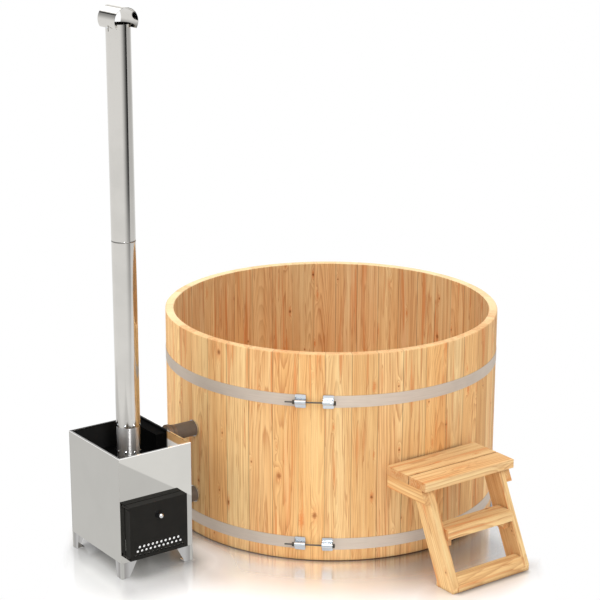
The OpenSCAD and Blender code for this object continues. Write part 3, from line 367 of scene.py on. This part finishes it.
def board_wood(name, along, across, seed, tint=(1.0, 1.0, 1.0)):
    """One loose board: along and across are its directions in the row frame."""
    g = Graph(name)
    point = g.point()
    through = Vector(along).cross(Vector(across))
    color, height, _ = wood_grain(g, g.dot(point, across), g.dot(point, along), g.dot(point, through), seed)
    color = g.times(color, (*tint, 1.0))
    facing = g.math("ABSOLUTE", g.dot(g.normal(), along))
    color = g.mix(g.smooth(facing, 0.85, 0.98, 0.0, 0.45), color, WOOD_LATE)
    return wood_surface(g, color, height)


# ---------------------------------------------------------------- metal, paint and rubber
HOSE_WRAP = 0.009  # pitch of the cloth pattern
SHEET_MARKS = (3.0, 3.0, 90.0)
PIPE_MARKS = (5.0, 5.0, 60.0)
PIPE_COLOR = (0.830, 0.820, 0.800)
# Black of the firebox's coating, and painted shade inside the case
BLACK_PAINT_AND_SHADE = (0.020, 0.020, 0.020)


def upright(g):
    """Direction of the brushing: nearly straight up, so that it never lies along a level face's normal."""
    return g.vector(0.020, 0.013, 1.0)


def steel(name, color, roughness, grain=(40.0, 40.0, 40.0), smudge=0.04, bump=0.01, brushed=0.0,
          metallic=1.0, calm=False, joint=None, sky=0.0):
    """Bare steel with fine drawing marks along the axis with the small grain number. A joint is the height
    of a pressed edge round a pipe, where the colour is painted dark as shade in the seam, and sky is the light
    that the faces turned up add of their own."""
    g = Graph(name)
    marks = g.drawn_marks(grain)
    cloud = g.noise(g.point(), 5.0, 3.0, 0.6)
    rough = g.add(g.smooth(marks, 0.3, 0.7, roughness * 0.90, roughness * 1.12),
                  g.smooth(cloud, 0.50, 0.80, 0.0, smudge))
    tint = g.mix(g.smooth(cloud, 0.35, 0.75), shade(color), shade([c * 0.97 for c in color]))
    base = None
    if joint is not None:
        _, _, z = g.place()
        above = g.sub(z, joint)
        # Painted shade: the colour turns dark within a few millimetres of the seam
        edge = g.smooth(g.math("ABSOLUTE", above), 0.0022, 0.0042, 1.0, 0.0)
        tint = g.mix(g.mul(edge, 0.62), tint, shade((0.20, 0.20, 0.20)))
        rough = g.add(rough, g.mul(edge, 0.30))
        tilt = g.vector(0.0, 0.0, g.mul(g.mul(above, edge), 160.0))
        base = g.vector_math("NORMALIZE", g.vector_math("ADD", g.normal(), tilt))
    normal = g.bump(marks, bump, 0.0001, base)
    up = g.dot(g.normal(), Z_AXIS)
    return g.surface(tint, rough, metallic, normal, calm, Anisotropic=brushed, Tangent=upright(g),
                     Emission_Color=tint, Emission_Strength=g.mul(g.smooth(up, 0.52, 0.60), sky))


def painted(name, color, roughness, gloss=0.25):
    """Black heatproof coating with fine texture, dust and dull patches."""
    g = Graph(name)
    cloud = g.noise(g.point(), 9.0, 4.0, 0.65)
    speck = g.noise(g.point(), 900.0, 2.0, 0.7)
    tint = g.mix(g.smooth(cloud, 0.35, 0.75, 0.0, 0.5), shade(color), shade([c * 1.3 for c in color]))
    rough = g.smooth(cloud, 0.3, 0.7, roughness, roughness + 0.08)
    return g.surface(tint, rough, normal=g.bump(speck, 0.05, 0.0002), Specular_IOR_Level=gloss)


def rubber(name, color):
    """Hose rubber with a faint wrapped-cloth pattern, dust and scuffs."""
    g = Graph(name)
    x, _, _ = g.place()
    wrap = g.math("SINE", g.mul(x, 2 * math.pi / HOSE_WRAP))
    cloud = g.noise(g.point(), 30.0, 3.0, 0.6)
    tint = g.mix(g.smooth(cloud, 0.3, 0.8, 0.0, 0.5), shade(color), shade([c * 1.25 for c in color]))
    normal = g.bump(g.add(wrap, g.mul(cloud, 2.0)), 0.10, 0.0004)
    return g.surface(tint, g.smooth(cloud, 0.3, 0.7, 0.50, 0.70), normal=normal, Specular_IOR_Level=0.35)


LIP_T = 0.0025  # taken as lip from the sheets' top down
LIP_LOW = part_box("case_front")[1].z - LIP_T
LIP_LIGHT = 0.40  # light that the front and left lips add of their own
BAFFLE_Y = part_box("door_baffle")[1].y
BAFFLE_T = 0.0020
BAFFLE_LIGHT = 0.75
HEADER_Y0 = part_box("flow_header")[0].y
SHEET_IN = 0.001  # from a sheet's outside to where its inside look starts
CASE_COLOR = (0.830, 0.822, 0.800)


def case_sheet(name, axis, towards, at, inside=(0.720, 0.700, 0.670), dull=0.7, painted_reflection=0.0, edge_light=0.0,
               shaded_past=None):
    """Case sheet: polished outside with its lip painted near white as a highlight, and dull inside from at, on
    the side that towards gives.
    With warm its inside takes a painted brown reflection of the wood at the top and glows a little, and past y
    = sooty it is painted black as shade."""
    g = Graph(name)
    x, y, z = g.place()
    marks = g.drawn_marks(SHEET_MARKS)
    cloud = g.noise(g.point(), 4.0, 3.0, 0.6)
    inner = g.math("GREATER_THAN" if towards > 0 else "LESS_THAN", x if axis == "x" else y, at)
    below = g.math("LESS_THAN", z, LIP_LOW)
    mask = g.mul(inner, below)
    tint = g.mix(g.smooth(cloud, 0.35, 0.75), shade(CASE_COLOR), shade([c * 0.985 for c in CASE_COLOR]))
    # Painted highlight: above LIP_LOW the lip is near white
    tint = g.mix(below, shade((0.985, 0.980, 0.970)), tint)
    # Painted reflection: a brown band of the wood near the top of the inside
    wood_reflection_band = g.mul(g.smooth(g.add(z, g.mul(cloud, 0.01)), LIP_LOW - 0.046, LIP_LOW - 0.034), painted_reflection)
    back = g.mix(wood_reflection_band, shade(inside), shade((0.760, 0.590, 0.390)))
    tint = g.mix(mask, tint, back)
    rough = g.add(g.smooth(marks, 0.3, 0.7, 0.014, 0.026), g.mul(mask, 0.5))
    metallic = g.sub(1.0, g.mul(mask, dull))
    # Painted light: the upper part of the inside glows a little
    glow = g.mul(g.mul(mask, g.smooth(z, LIP_LOW - 0.15, LIP_LOW - 0.05)), 0.40 * painted_reflection)
    # Painted shade: past y = sooty the inside turns black
    if shaded_past is not None:
        past = g.smooth(y, shaded_past - 0.012, shaded_past + 0.012)
        painted_shade = g.mul(g.mul(inner, past), g.smooth(below, 0.0, 1.0, 0.70, 1.0))
        tint = g.mix(painted_shade, tint, shade(BLACK_PAINT_AND_SHADE))
        glow = g.mul(glow, g.sub(1.0, painted_shade))
    return g.surface(tint, rough, metallic, g.bump(marks, 0.004, 0.0001), Emission_Color=tint,
                     Emission_Strength=g.add(glow, g.mul(g.sub(1.0, below), edge_light)))


# ---------------------------------------------------------------- materials on the frame's own nodes
def dress(names, material):
    """Puts one material on the frame's own nodes."""
    for name in names:
        slots = NODES[name].data.materials
        slots.clear()
        slots.append(material)


LEG_LEAN = math.radians(25.86)
UP_LEG = (0.0, math.sin(LEG_LEAN), math.cos(LEG_LEAN))


def dress_wood():
    dress([f"wall_staves_{i}" for i in range(1, 7)], stave_wood())
    across_leg = tuple(Vector(UP_LEG).cross(Vector(X_AXIS)))
    deck_tint = (0.98, 1.00, 1.05)
    step_tint = (1.00, 1.02, 1.04)
    plain = (1.0, 1.0, 1.0)
    boards = {
        "deck_back_board": (X_AXIS, Y_AXIS, 11.0, deck_tint),
        "deck_front_board": (X_AXIS, Y_AXIS, 12.4, deck_tint),
        "left_cleat": (Y_AXIS, Z_AXIS, 13.9, step_tint),
        "right_cleat": (Y_AXIS, Z_AXIS, 14.3, step_tint),
        "left_leg": (UP_LEG, across_leg, 15.6, step_tint),
        "right_leg": (UP_LEG, across_leg, 16.1, step_tint),
        "lower_tread": (X_AXIS, Y_AXIS, 17.7, step_tint),
        "tread_cleats": (Y_AXIS, X_AXIS, 18.2, step_tint),
        "bottom_rail": (X_AXIS, Z_AXIS, 19.5, step_tint),
        "floor_boards": (Y_AXIS, X_AXIS, 20.8, plain),
        "floor_bearers": (X_AXIS, Y_AXIS, 21.1, plain),
        "bench_boards": (Y_AXIS, X_AXIS, 22.6, plain),
        "bench_rails": (X_AXIS, Z_AXIS, 23.4, plain),
        "bench_uprights": (Z_AXIS, X_AXIS, 24.7, plain),
    }
    for node, (along, across, seed, tint) in boards.items():
        dress([node], board_wood("wood_" + node, along, across, seed, tint))


def dress_metal():
    dress(["upper_band", "lower_band"],
          steel("band_steel", (0.815, 0.765, 0.715), 0.72, (6.0, 6.0, 300.0), 0.05, metallic=0.72, calm=True))
    dress(["upper_clamp", "lower_clamp", "water_stubs", "water_fittings", "fitting_nuts", "drain_body",
           "flue_rivets", "cap_rivets", "step_screws"],
          steel("zinc_steel", (0.87, 0.89, 0.91), 0.20, (30.0, 30.0, 30.0), 0.02, 0.0))
    dress(["tension_bolts", "tension_nuts"], steel("dark_bolt", (0.34, 0.33, 0.31), 0.35))
    dress(["union_nuts", "hose_clips"], steel("dull_brass", (0.50, 0.43, 0.37), 0.38))
    dress(["rain_cap"], steel("cap_steel", PIPE_COLOR, 0.08, PIPE_MARKS, 0.02, 0.0, sky=0.9))
    dress(["lower_pipe", "upper_pipe"],
          steel("pipe_steel", PIPE_COLOR, 0.08, PIPE_MARKS, 0.02, 0.0, joint=PIPE_HIGH.z))
    dress(["flue_collar"],
          steel("collar_steel", (0.860, 0.855, 0.850), 0.32, (3.0, 3.0, 200.0), 0.02, 0.02, brushed=0.95))
    dress(["ash_pan", "case_floor"], steel("case_steel", CASE_COLOR, 0.06, SHEET_MARKS, 0.02, 0.006))
    dress(["stove_legs"], leg_sheet())
    dress(["door_lugs", "hinge_rod"], steel("hinge_steel", (0.30, 0.29, 0.28), 0.45))
    dress(["door_baffle"], bright_sheet())
    dress(["case_left"], case_sheet("case_left_steel", "x", 1, CASE_X0 + SHEET_IN, edge_light=LIP_LIGHT))
    dress(["case_right"],
          case_sheet("case_right_steel", "x", -1, CASE_X1 - SHEET_IN, (0.930, 0.915, 0.890), 0.9, painted_reflection=1.0,
                     shaded_past=HEADER_Y0))
    # Painted shade: the inside of the back sheet is black
    dress(["case_back"], case_sheet("case_back_steel", "y", -1, CASE_Y1 - SHEET_IN, BLACK_PAINT_AND_SHADE, 1.0))
    dress(["case_front"], case_sheet("case_front_steel", "y", 1, CASE_Y0 + SHEET_IN, edge_light=LIP_LIGHT))
    dress(["boiler_shell", "firebox", "flow_header", "fire_grate", "flue_spigot"],
          painted("fire_black", BLACK_PAINT_AND_SHADE, 0.75, 0.04))
    dress(["door_tray"], painted("door_black", (0.112, 0.108, 0.098), 0.42, 0.12))
    dress(["knob_rose"], painted("rose_black", (0.030, 0.030, 0.030), 0.40, 0.20))
    dress(["door_knob"], steel("knob_chrome", (0.90, 0.90, 0.90), 0.06))
    dress(["flow_hose", "return_hose"], rubber("hose_rubber", (0.36, 0.310, 0.265)))
    dress(["drain_plug"], rubber("plug_rubber", (0.10, 0.10, 0.10)))


def leg_sheet():
    """Folded leg sheet, painted darker as shade on the slanted part of each side than along the fold."""
    g = Graph("leg_steel")
    x, y, _ = g.place()
    from_x = g.sub((CASE_X1 - CASE_X0) / 2, g.math("ABSOLUTE", g.sub(x, (CASE_X0 + CASE_X1) / 2)))
    from_y = g.sub((CASE_Y1 - CASE_Y0) / 2, g.math("ABSOLUTE", g.sub(y, (CASE_Y0 + CASE_Y1) / 2)))
    out = g.math("MAXIMUM", from_x, from_y)
    marks = g.drawn_marks(SHEET_MARKS)
    # Painted shade: a darker band on the slanted part of each side
    tint = g.mix(g.smooth(out, 0.012, 0.018), shade((0.800, 0.795, 0.775)), shade((0.690, 0.680, 0.670)))
    tint = g.mix(g.smooth(out, 0.018, 0.050), tint, shade((0.800, 0.795, 0.790)))
    return g.surface(tint, g.smooth(marks, 0.3, 0.7, 0.05, 0.09), 1.0, g.bump(marks, 0.006, 0.0001))


def bright_sheet():
    """Galvanised plate behind the air holes, with a faint spangle. Its face adds light of its own."""
    g = Graph("baffle_zinc")
    cell = g.node("ShaderNodeTexVoronoi")
    cell.inputs["Scale"].default_value = 120.0
    g.put(cell.inputs["Vector"], g.point())
    _, y, _ = g.place()
    plate = g.math("GREATER_THAN", y, BAFFLE_Y - BAFFLE_T)
    tint = g.mix(cell.outputs["Distance"], shade((0.97, 0.97, 0.96)), shade((0.90, 0.90, 0.89)))
    return g.surface(tint, 0.55, 0.1, Emission_Color=(1.0, 1.0, 1.0, 1.0),
                     Emission_Strength=g.mul(plate, BAFFLE_LIGHT))


# ---------------------------------------------------------------- floor, light and camera
FLOOR_HALF = 30.0  # half the floor's side
FLOOR_DROP = 0.0005  # below the feet, so that no face lies in it
FLOOR_GLOW = 0.16  # the white surroundings that the floor's sheen takes up
CONTACT_REACH = 0.45  # how far from the object its soft shadow starts
MIRROR_ROUGHNESS = 0.155
MIRROR_ANISOTROPY = 0.77
STRIPE_START, STRIPE_MOST, STRIPE_LEAST = math.radians(8), math.radians(86), math.radians(40)
STRIPE_NARROWS = math.radians(137)  # divided by the distance from the chimney
STRIPE_SOFT, STRIPE_EDGE = math.radians(4), math.radians(2.5)
GRAY_BACK = math.radians(110), math.radians(170)
STOVE_TONE = 0.24  # how much darker the floor is that the stove's sheets mirror
# Direction x = slope y + offset of the edge that shows on the stove's front as a slanting line
STOVE_EDGE_SLOPE, STOVE_EDGE_OFFSET = 0.1184, -0.5184


def stripe_tone(g, x, y):
    """Tone of the floor, as steel mirrors it, by the direction from the chimney: from white through a dark
    stripe, which is deeper far away, to gray. It gives the chimney its upright stripes."""
    dx = g.sub(x, PIPE_X)
    dy = g.sub(y, PIPE_Y)
    out = g.add(g.mul(dx, VIEW_OUT.x), g.mul(dy, VIEW_OUT.y))
    right = g.add(g.mul(dx, VIEW_RIGHT.x), g.mul(dy, VIEW_RIGHT.y))
    angle = g.math("ARCTAN2", right, out)
    far = g.far(dx, dy)

    def darker(reach, power):
        """Tone that falls with the distance, to a half at reach."""
        return g.math("DIVIDE", 1.0, g.add(1.0, g.math("POWER", g.math("DIVIDE", far, reach), power)))

    dark = g.math("MINIMUM", darker(5.6, 3.0), darker(6.6, 9.0))
    edge = g.math("MAXIMUM", g.sub(STRIPE_MOST, g.math("DIVIDE", STRIPE_NARROWS, far)), STRIPE_LEAST)
    left = g.between(g.smooth(angle, STRIPE_START, g.sub(edge, STRIPE_SOFT)), 1.0, dark)
    fade = g.math("EXPONENT", g.mul(g.sub(far, 4.0), -1 / 6.0))
    gray = g.math("MINIMUM", g.add(0.55, g.mul(fade, 0.45)), 1.0)
    gray = g.between(g.smooth(angle, *GRAY_BACK), gray, 1.0)
    beyond = g.smooth(angle, g.sub(edge, STRIPE_EDGE), g.add(edge, STRIPE_EDGE))
    return g.between(beyond, left, gray)


def stove_tone(g, x, y):
    """Gray part of the studio floor in front of the stove and beside it, which its polished sheets mirror."""
    edge = g.add(g.mul(y, STOVE_EDGE_SLOPE), STOVE_EDGE_OFFSET)
    inside = g.mul(g.smooth(g.sub(edge, x), 0.0, 0.008), g.smooth(x, -3.6, -3.0))
    inside = g.mul(inside, g.mul(g.smooth(y, -2.1, -1.9), g.smooth(y, 2.3, 2.8, 1.0, 0.0)))
    return g.add(1.0, g.mul(inside, -STOVE_TONE))


def side_gap(g, side, xs, ys):
    """How far a place lies sideways outside a box, seen along the view."""
    ends = [x * SIDEWAYS.x + y * SIDEWAYS.y for x in xs for y in ys]
    middle = (min(ends) + max(ends)) / 2
    return g.sub(g.math("ABSOLUTE", g.sub(side, middle)), (max(ends) - min(ends)) / 2)


def build_floor():
    """Pale polished floor. It shades and mirrors only near the object, and turns plain white further away and
    past the object's sides as the photo shows them. Its shading goes by where the stove and the steps rest."""
    mesh = bpy.data.meshes.new("floor")
    corners = [(-FLOOR_HALF, -FLOOR_HALF, 0), (FLOOR_HALF, -FLOOR_HALF, 0),
               (FLOOR_HALF, FLOOR_HALF, 0), (-FLOOR_HALF, FLOOR_HALF, 0)]
    mesh.from_pydata(corners, [], [(0, 1, 2, 3)])
    floor = bpy.data.objects.new("floor", mesh)
    bpy.context.scene.collection.objects.link(floor)
    floor.location.z = -FLOOR_DROP
    g = Graph("floor_white")
    x, y, _ = g.place()

    def box_gap(x0, x1, y0, y1):
        """Distance on the floor from a rectangle."""
        dx = g.math("MAXIMUM", g.sub(g.math("ABSOLUTE", g.sub(x, (x0 + x1) / 2)), (x1 - x0) / 2), 0.0)
        dy = g.math("MAXIMUM", g.sub(g.math("ABSOLUTE", g.sub(y, (y0 + y1) / 2)), (y1 - y0) / 2), 0.0)
        return g.far(dx, dy)

    tub_gap = g.math("MAXIMUM", g.sub(g.far(x, y), TUB_R), 0.0)
    stove_gap = box_gap(CASE_X0, CASE_X1, CASE_Y0, CASE_Y1)
    steps_gap = box_gap(STEPS_X0, STEPS_X1, STEPS_Y0, STEPS_Y1)
    gap = g.math("MINIMUM", g.math("MINIMUM", tub_gap, stove_gap), steps_gap)
    path = g.node("ShaderNodeLightPath")
    seen = g.math("MAXIMUM", path.outputs["Is Camera Ray"], path.outputs["Is Transmission Ray"])
    mirrored = path.outputs["Is Glossy Ray"]
    # Soft contact shadow, diffuse light and a little of the background's white
    contact = g.node("ShaderNodeAmbientOcclusion", samples=8)
    contact.inputs["Distance"].default_value = CONTACT_REACH
    open_sky = g.math("POWER", contact.outputs["AO"], 1.3)
    # Little shadow left of the stove, and between it and the tub
    lit = g.mul(g.smooth(x, CASE_X0 - 0.02, CASE_X0 + 0.08, 0.66, 0.0), g.smooth(y, -0.45, -0.30))
    passage = g.mul(g.smooth(x, CASE_X1 - 0.02, CASE_X1 + 0.06), g.smooth(x, -0.97, -0.85, 1.0, 0.0))
    passage = g.mul(passage, g.smooth(y, -0.20, -0.05, 0.85, 0.0))
    lit = g.math("MAXIMUM", lit, g.mul(passage, g.smooth(stove_gap, 0.35, 0.60, 1.0, 0.0)))
    open_sky = g.between(lit, open_sky, 1.0)
    # More shadow between the steps and the tub, under the steps and under the stove
    nook = g.mul(g.smooth(tub_gap, 0.0, 0.40, 0.36, 0.0), g.smooth(steps_gap, 0.0, 0.16, 1.0, 0.0))
    dx = g.sub(x, (STEPS_X0 + STEPS_X1) / 2 + 0.12)
    dy = g.sub(y, (STEPS_Y0 + STEPS_Y1) / 2)
    nook = g.add(nook, g.smooth(g.far(dx, dy), 0.05, 0.36, 0.18, 0.0))
    under = g.mul(g.smooth(stove_gap, 0.0, 0.10, 1.0, 0.0), g.smooth(x, CASE_X0, CASE_X0 + 0.14, 0.2, 1.0))
    under = g.mul(under, g.smooth(y, -0.27, -0.12, 0.30, 0.52))
    corner = g.sub(1.0, g.math("MAXIMUM", nook, under))
    # Painted contact shadow: a dark line where the tub and the bottom rail touch the floor
    rail_low, rail_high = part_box("bottom_rail")
    rail_gap = box_gap(rail_low.x, rail_high.x, rail_low.y, rail_high.y)
    touch = g.mul(g.smooth(tub_gap, 0.0, 0.055, 0.52, 1.0), g.smooth(rail_gap, 0.0, 0.045, 0.42, 1.0))
    diffuse = g.node("ShaderNodeBsdfDiffuse")
    bare = g.mul(g.mul(g.smooth(open_sky, 0.0, 0.95, 0.40, 0.92), corner), touch)
    g.put(diffuse.inputs["Color"], g.gray(bare))
    glow = g.node("ShaderNodeEmission")
    g.put(glow.inputs["Strength"], g.mul(g.mul(g.mul(seen, open_sky), g.mul(corner, touch)), FLOOR_GLOW))
    dull = g.node("ShaderNodeAddShader")
    g.put(dull.inputs[0], diffuse.outputs[0])
    g.put(dull.inputs[1], glow.outputs[0])
    # Mirror image of the object, sharp across the view and drawn out along it
    gloss = g.node("ShaderNodeBsdfAnisotropic")
    g.put(gloss.inputs["Color"], g.gray(g.mul(touch, corner)))
    gloss.inputs["Roughness"].default_value = MIRROR_ROUGHNESS
    gloss.inputs["Anisotropy"].default_value = MIRROR_ANISOTROPY
    g.put(gloss.inputs["Tangent"], g.vector(VIEW_RIGHT.x, VIEW_RIGHT.y, 0.0))
    tub_share = g.mul(g.smooth(tub_gap, 0.06, 0.72, 0.86, 0.0), g.smooth(stove_gap, 0.0, 0.30, 0.30, 1.0))
    under_right = g.smooth(x, CASE_X1 - 0.25, CASE_X1 - 0.12, 0.0, 0.75)
    hidden = g.mul(g.smooth(stove_gap, 0.0, 0.02, 1.0, 0.0), under_right)
    stove_share = g.mul(g.smooth(stove_gap, 0.0, 0.55, 0.50, 0.0), g.sub(1.0, hidden))
    steps_share = g.smooth(steps_gap, 0.0, 0.30, 0.42, 0.0)
    mirror = g.math("MAXIMUM", g.math("MAXIMUM", tub_share, stove_share), steps_share)
    near = g.mix_shader(mirror, dull, gloss)
    # Background white for the camera, and the studio's tones for polished steel
    plain = g.node("ShaderNodeEmission")
    tone = g.math("MINIMUM", stripe_tone(g, x, y), stove_tone(g, x, y))
    g.put(plain.inputs["Strength"], g.math("MAXIMUM", seen, tone))
    # Past the object's sides the floor turns white at once, as its mirror image ends there
    side = g.add(g.mul(x, SIDEWAYS.x), g.mul(y, SIDEWAYS.y))
    tub_side = g.sub(g.math("ABSOLUTE", side), TUB_R)
    stove_side = side_gap(g, side, (CASE_X0, CASE_X1), (CASE_Y0, CASE_Y1))
    depth = g.add(g.mul(x, -SIDEWAYS.y), g.mul(y, SIDEWAYS.x))
    behind = g.sub(depth, STEPS_X1 * -SIDEWAYS.y + STEPS_Y0 * SIDEWAYS.x)
    steps_side = side_gap(g, side, (STEPS_X0, STEPS_X1), (STEPS_Y0, STEPS_Y1))
    steps_side = g.math("MAXIMUM", steps_side, g.mul(behind, 0.4))
    beside = g.math("MINIMUM", g.math("MINIMUM", tub_side, stove_side), steps_side)
    white = g.math("MAXIMUM", g.smooth(gap, 0.30, 1.0), g.smooth(beside, 0.004, 0.060))
    share = g.math("MAXIMUM", g.mul(seen, white), mirrored)
    g.put(g.out.inputs["Surface"], g.mix_shader(share, near, plain).outputs[0])
    mesh.materials.append(g.owner)


def area_light(name, place, target, size, power, tall=None):
    """Round lamp that lights but isn't mirrored, or with tall an upright strip that is mirrored but adds no
    diffuse light. The power is in watts."""
    lamp = bpy.data.lights.new(name, "AREA")
    lamp.shape = "RECTANGLE" if tall else "DISK"
    lamp.size = size
    lamp.energy = power
    thing = bpy.data.objects.new(name, lamp)
    if tall:
        lamp.size_y = tall
        thing.visible_diffuse = False
    else:
        thing.visible_glossy = False
    thing.location = place
    thing.rotation_euler = (Vector(target) - Vector(place)).to_track_quat("-Z", "Y").to_euler()
    bpy.context.scene.collection.objects.link(thing)


AMBIENT = 0.62  # brightness of the surroundings, where they only give light
CEILING = 1.25  # brightness of the studio's top, where steel mirrors it


def build_light():
    """Surroundings that are white where they are seen, even where they give light, and a studio where steel
    mirrors them, with four round lamps and one strip."""
    g = Graph("studio", studio=True)
    bpy.context.scene.world = g.owner
    back = g.node("ShaderNodeBackground")
    path = g.node("ShaderNodeLightPath")
    back.inputs["Color"].default_value = (1.0, 1.0, 1.0, 1.0)
    # From below: the far floor darkens towards the horizon, then comes a dark wall, and the white above it
    _, _, height = g.split(g.node("ShaderNodeTexCoord").outputs["Generated"])
    low = g.mul(g.smooth(height, -0.12, 0.32, 1.0, 0.38), g.smooth(height, 0.33, 0.35, 1.0, 0.03))
    studio = g.math("MAXIMUM", low, g.smooth(height, 0.43, 0.45, 0.0, CEILING))
    mirrored = path.outputs["Is Glossy Ray"]
    seen = g.math("MAXIMUM", path.outputs["Is Camera Ray"], path.outputs["Is Transmission Ray"])
    plain = g.mul(g.sub(1.0, g.math("MAXIMUM", seen, mirrored)), AMBIENT)
    g.put(back.inputs["Strength"], g.add(g.add(seen, g.mul(mirrored, studio)), plain))
    g.put(g.out.inputs["Surface"], back.outputs[0])
    area_light("key", (-1.4, -6.2, 6.0), (-0.2, 0.0, 0.4), 4.0, 156.0)
    area_light("top", (0.5, 1.0, 6.5), (0.0, 0.0, 0.5), 4.0, 150.0)
    area_light("left", (-5.2, 1.2, 3.6), (-0.5, 0.0, 0.5), 2.5, 105.0)
    area_light("fill", (-2.5, -3.3, 0.9), (-0.95, -0.25, 0.45), 0.9, 9.0)
    area_light("strip", (-2.55, -4.20, 4.4), (-1.311, -0.041, 0.6), 0.90, 330.0, tall=3.0)


def build_camera():
    """Camera of the photo, as fitted to the tub's rim, foot and bands, the stove, the chimney and the steps."""
    data = bpy.data.cameras.new("camera")
    data.lens = CAMERA_LENS
    data.sensor_width = SENSOR
    data.clip_end = CAMERA_REACH
    camera = bpy.data.objects.new("camera", data)
    turn = Matrix.Rotation(CAMERA_TURN, 4, "Z")
    dip = Matrix.Rotation(math.pi / 2 - CAMERA_DIP, 4, "X")
    roll = Matrix.Rotation(CAMERA_ROLL, 4, "Z")
    camera.matrix_world = Matrix.Translation(CAMERA_PLACE) @ turn @ dip @ roll
    bpy.context.scene.collection.objects.link(camera)
    bpy.context.scene.camera = camera


def main():
    scene = bpy.context.scene
    scene.view_settings.view_transform = "Standard"
    build_camera()
    build_floor()
    build_light()
    dress_wood()
    dress_metal()


main()
bpy.context.view_layer.update()
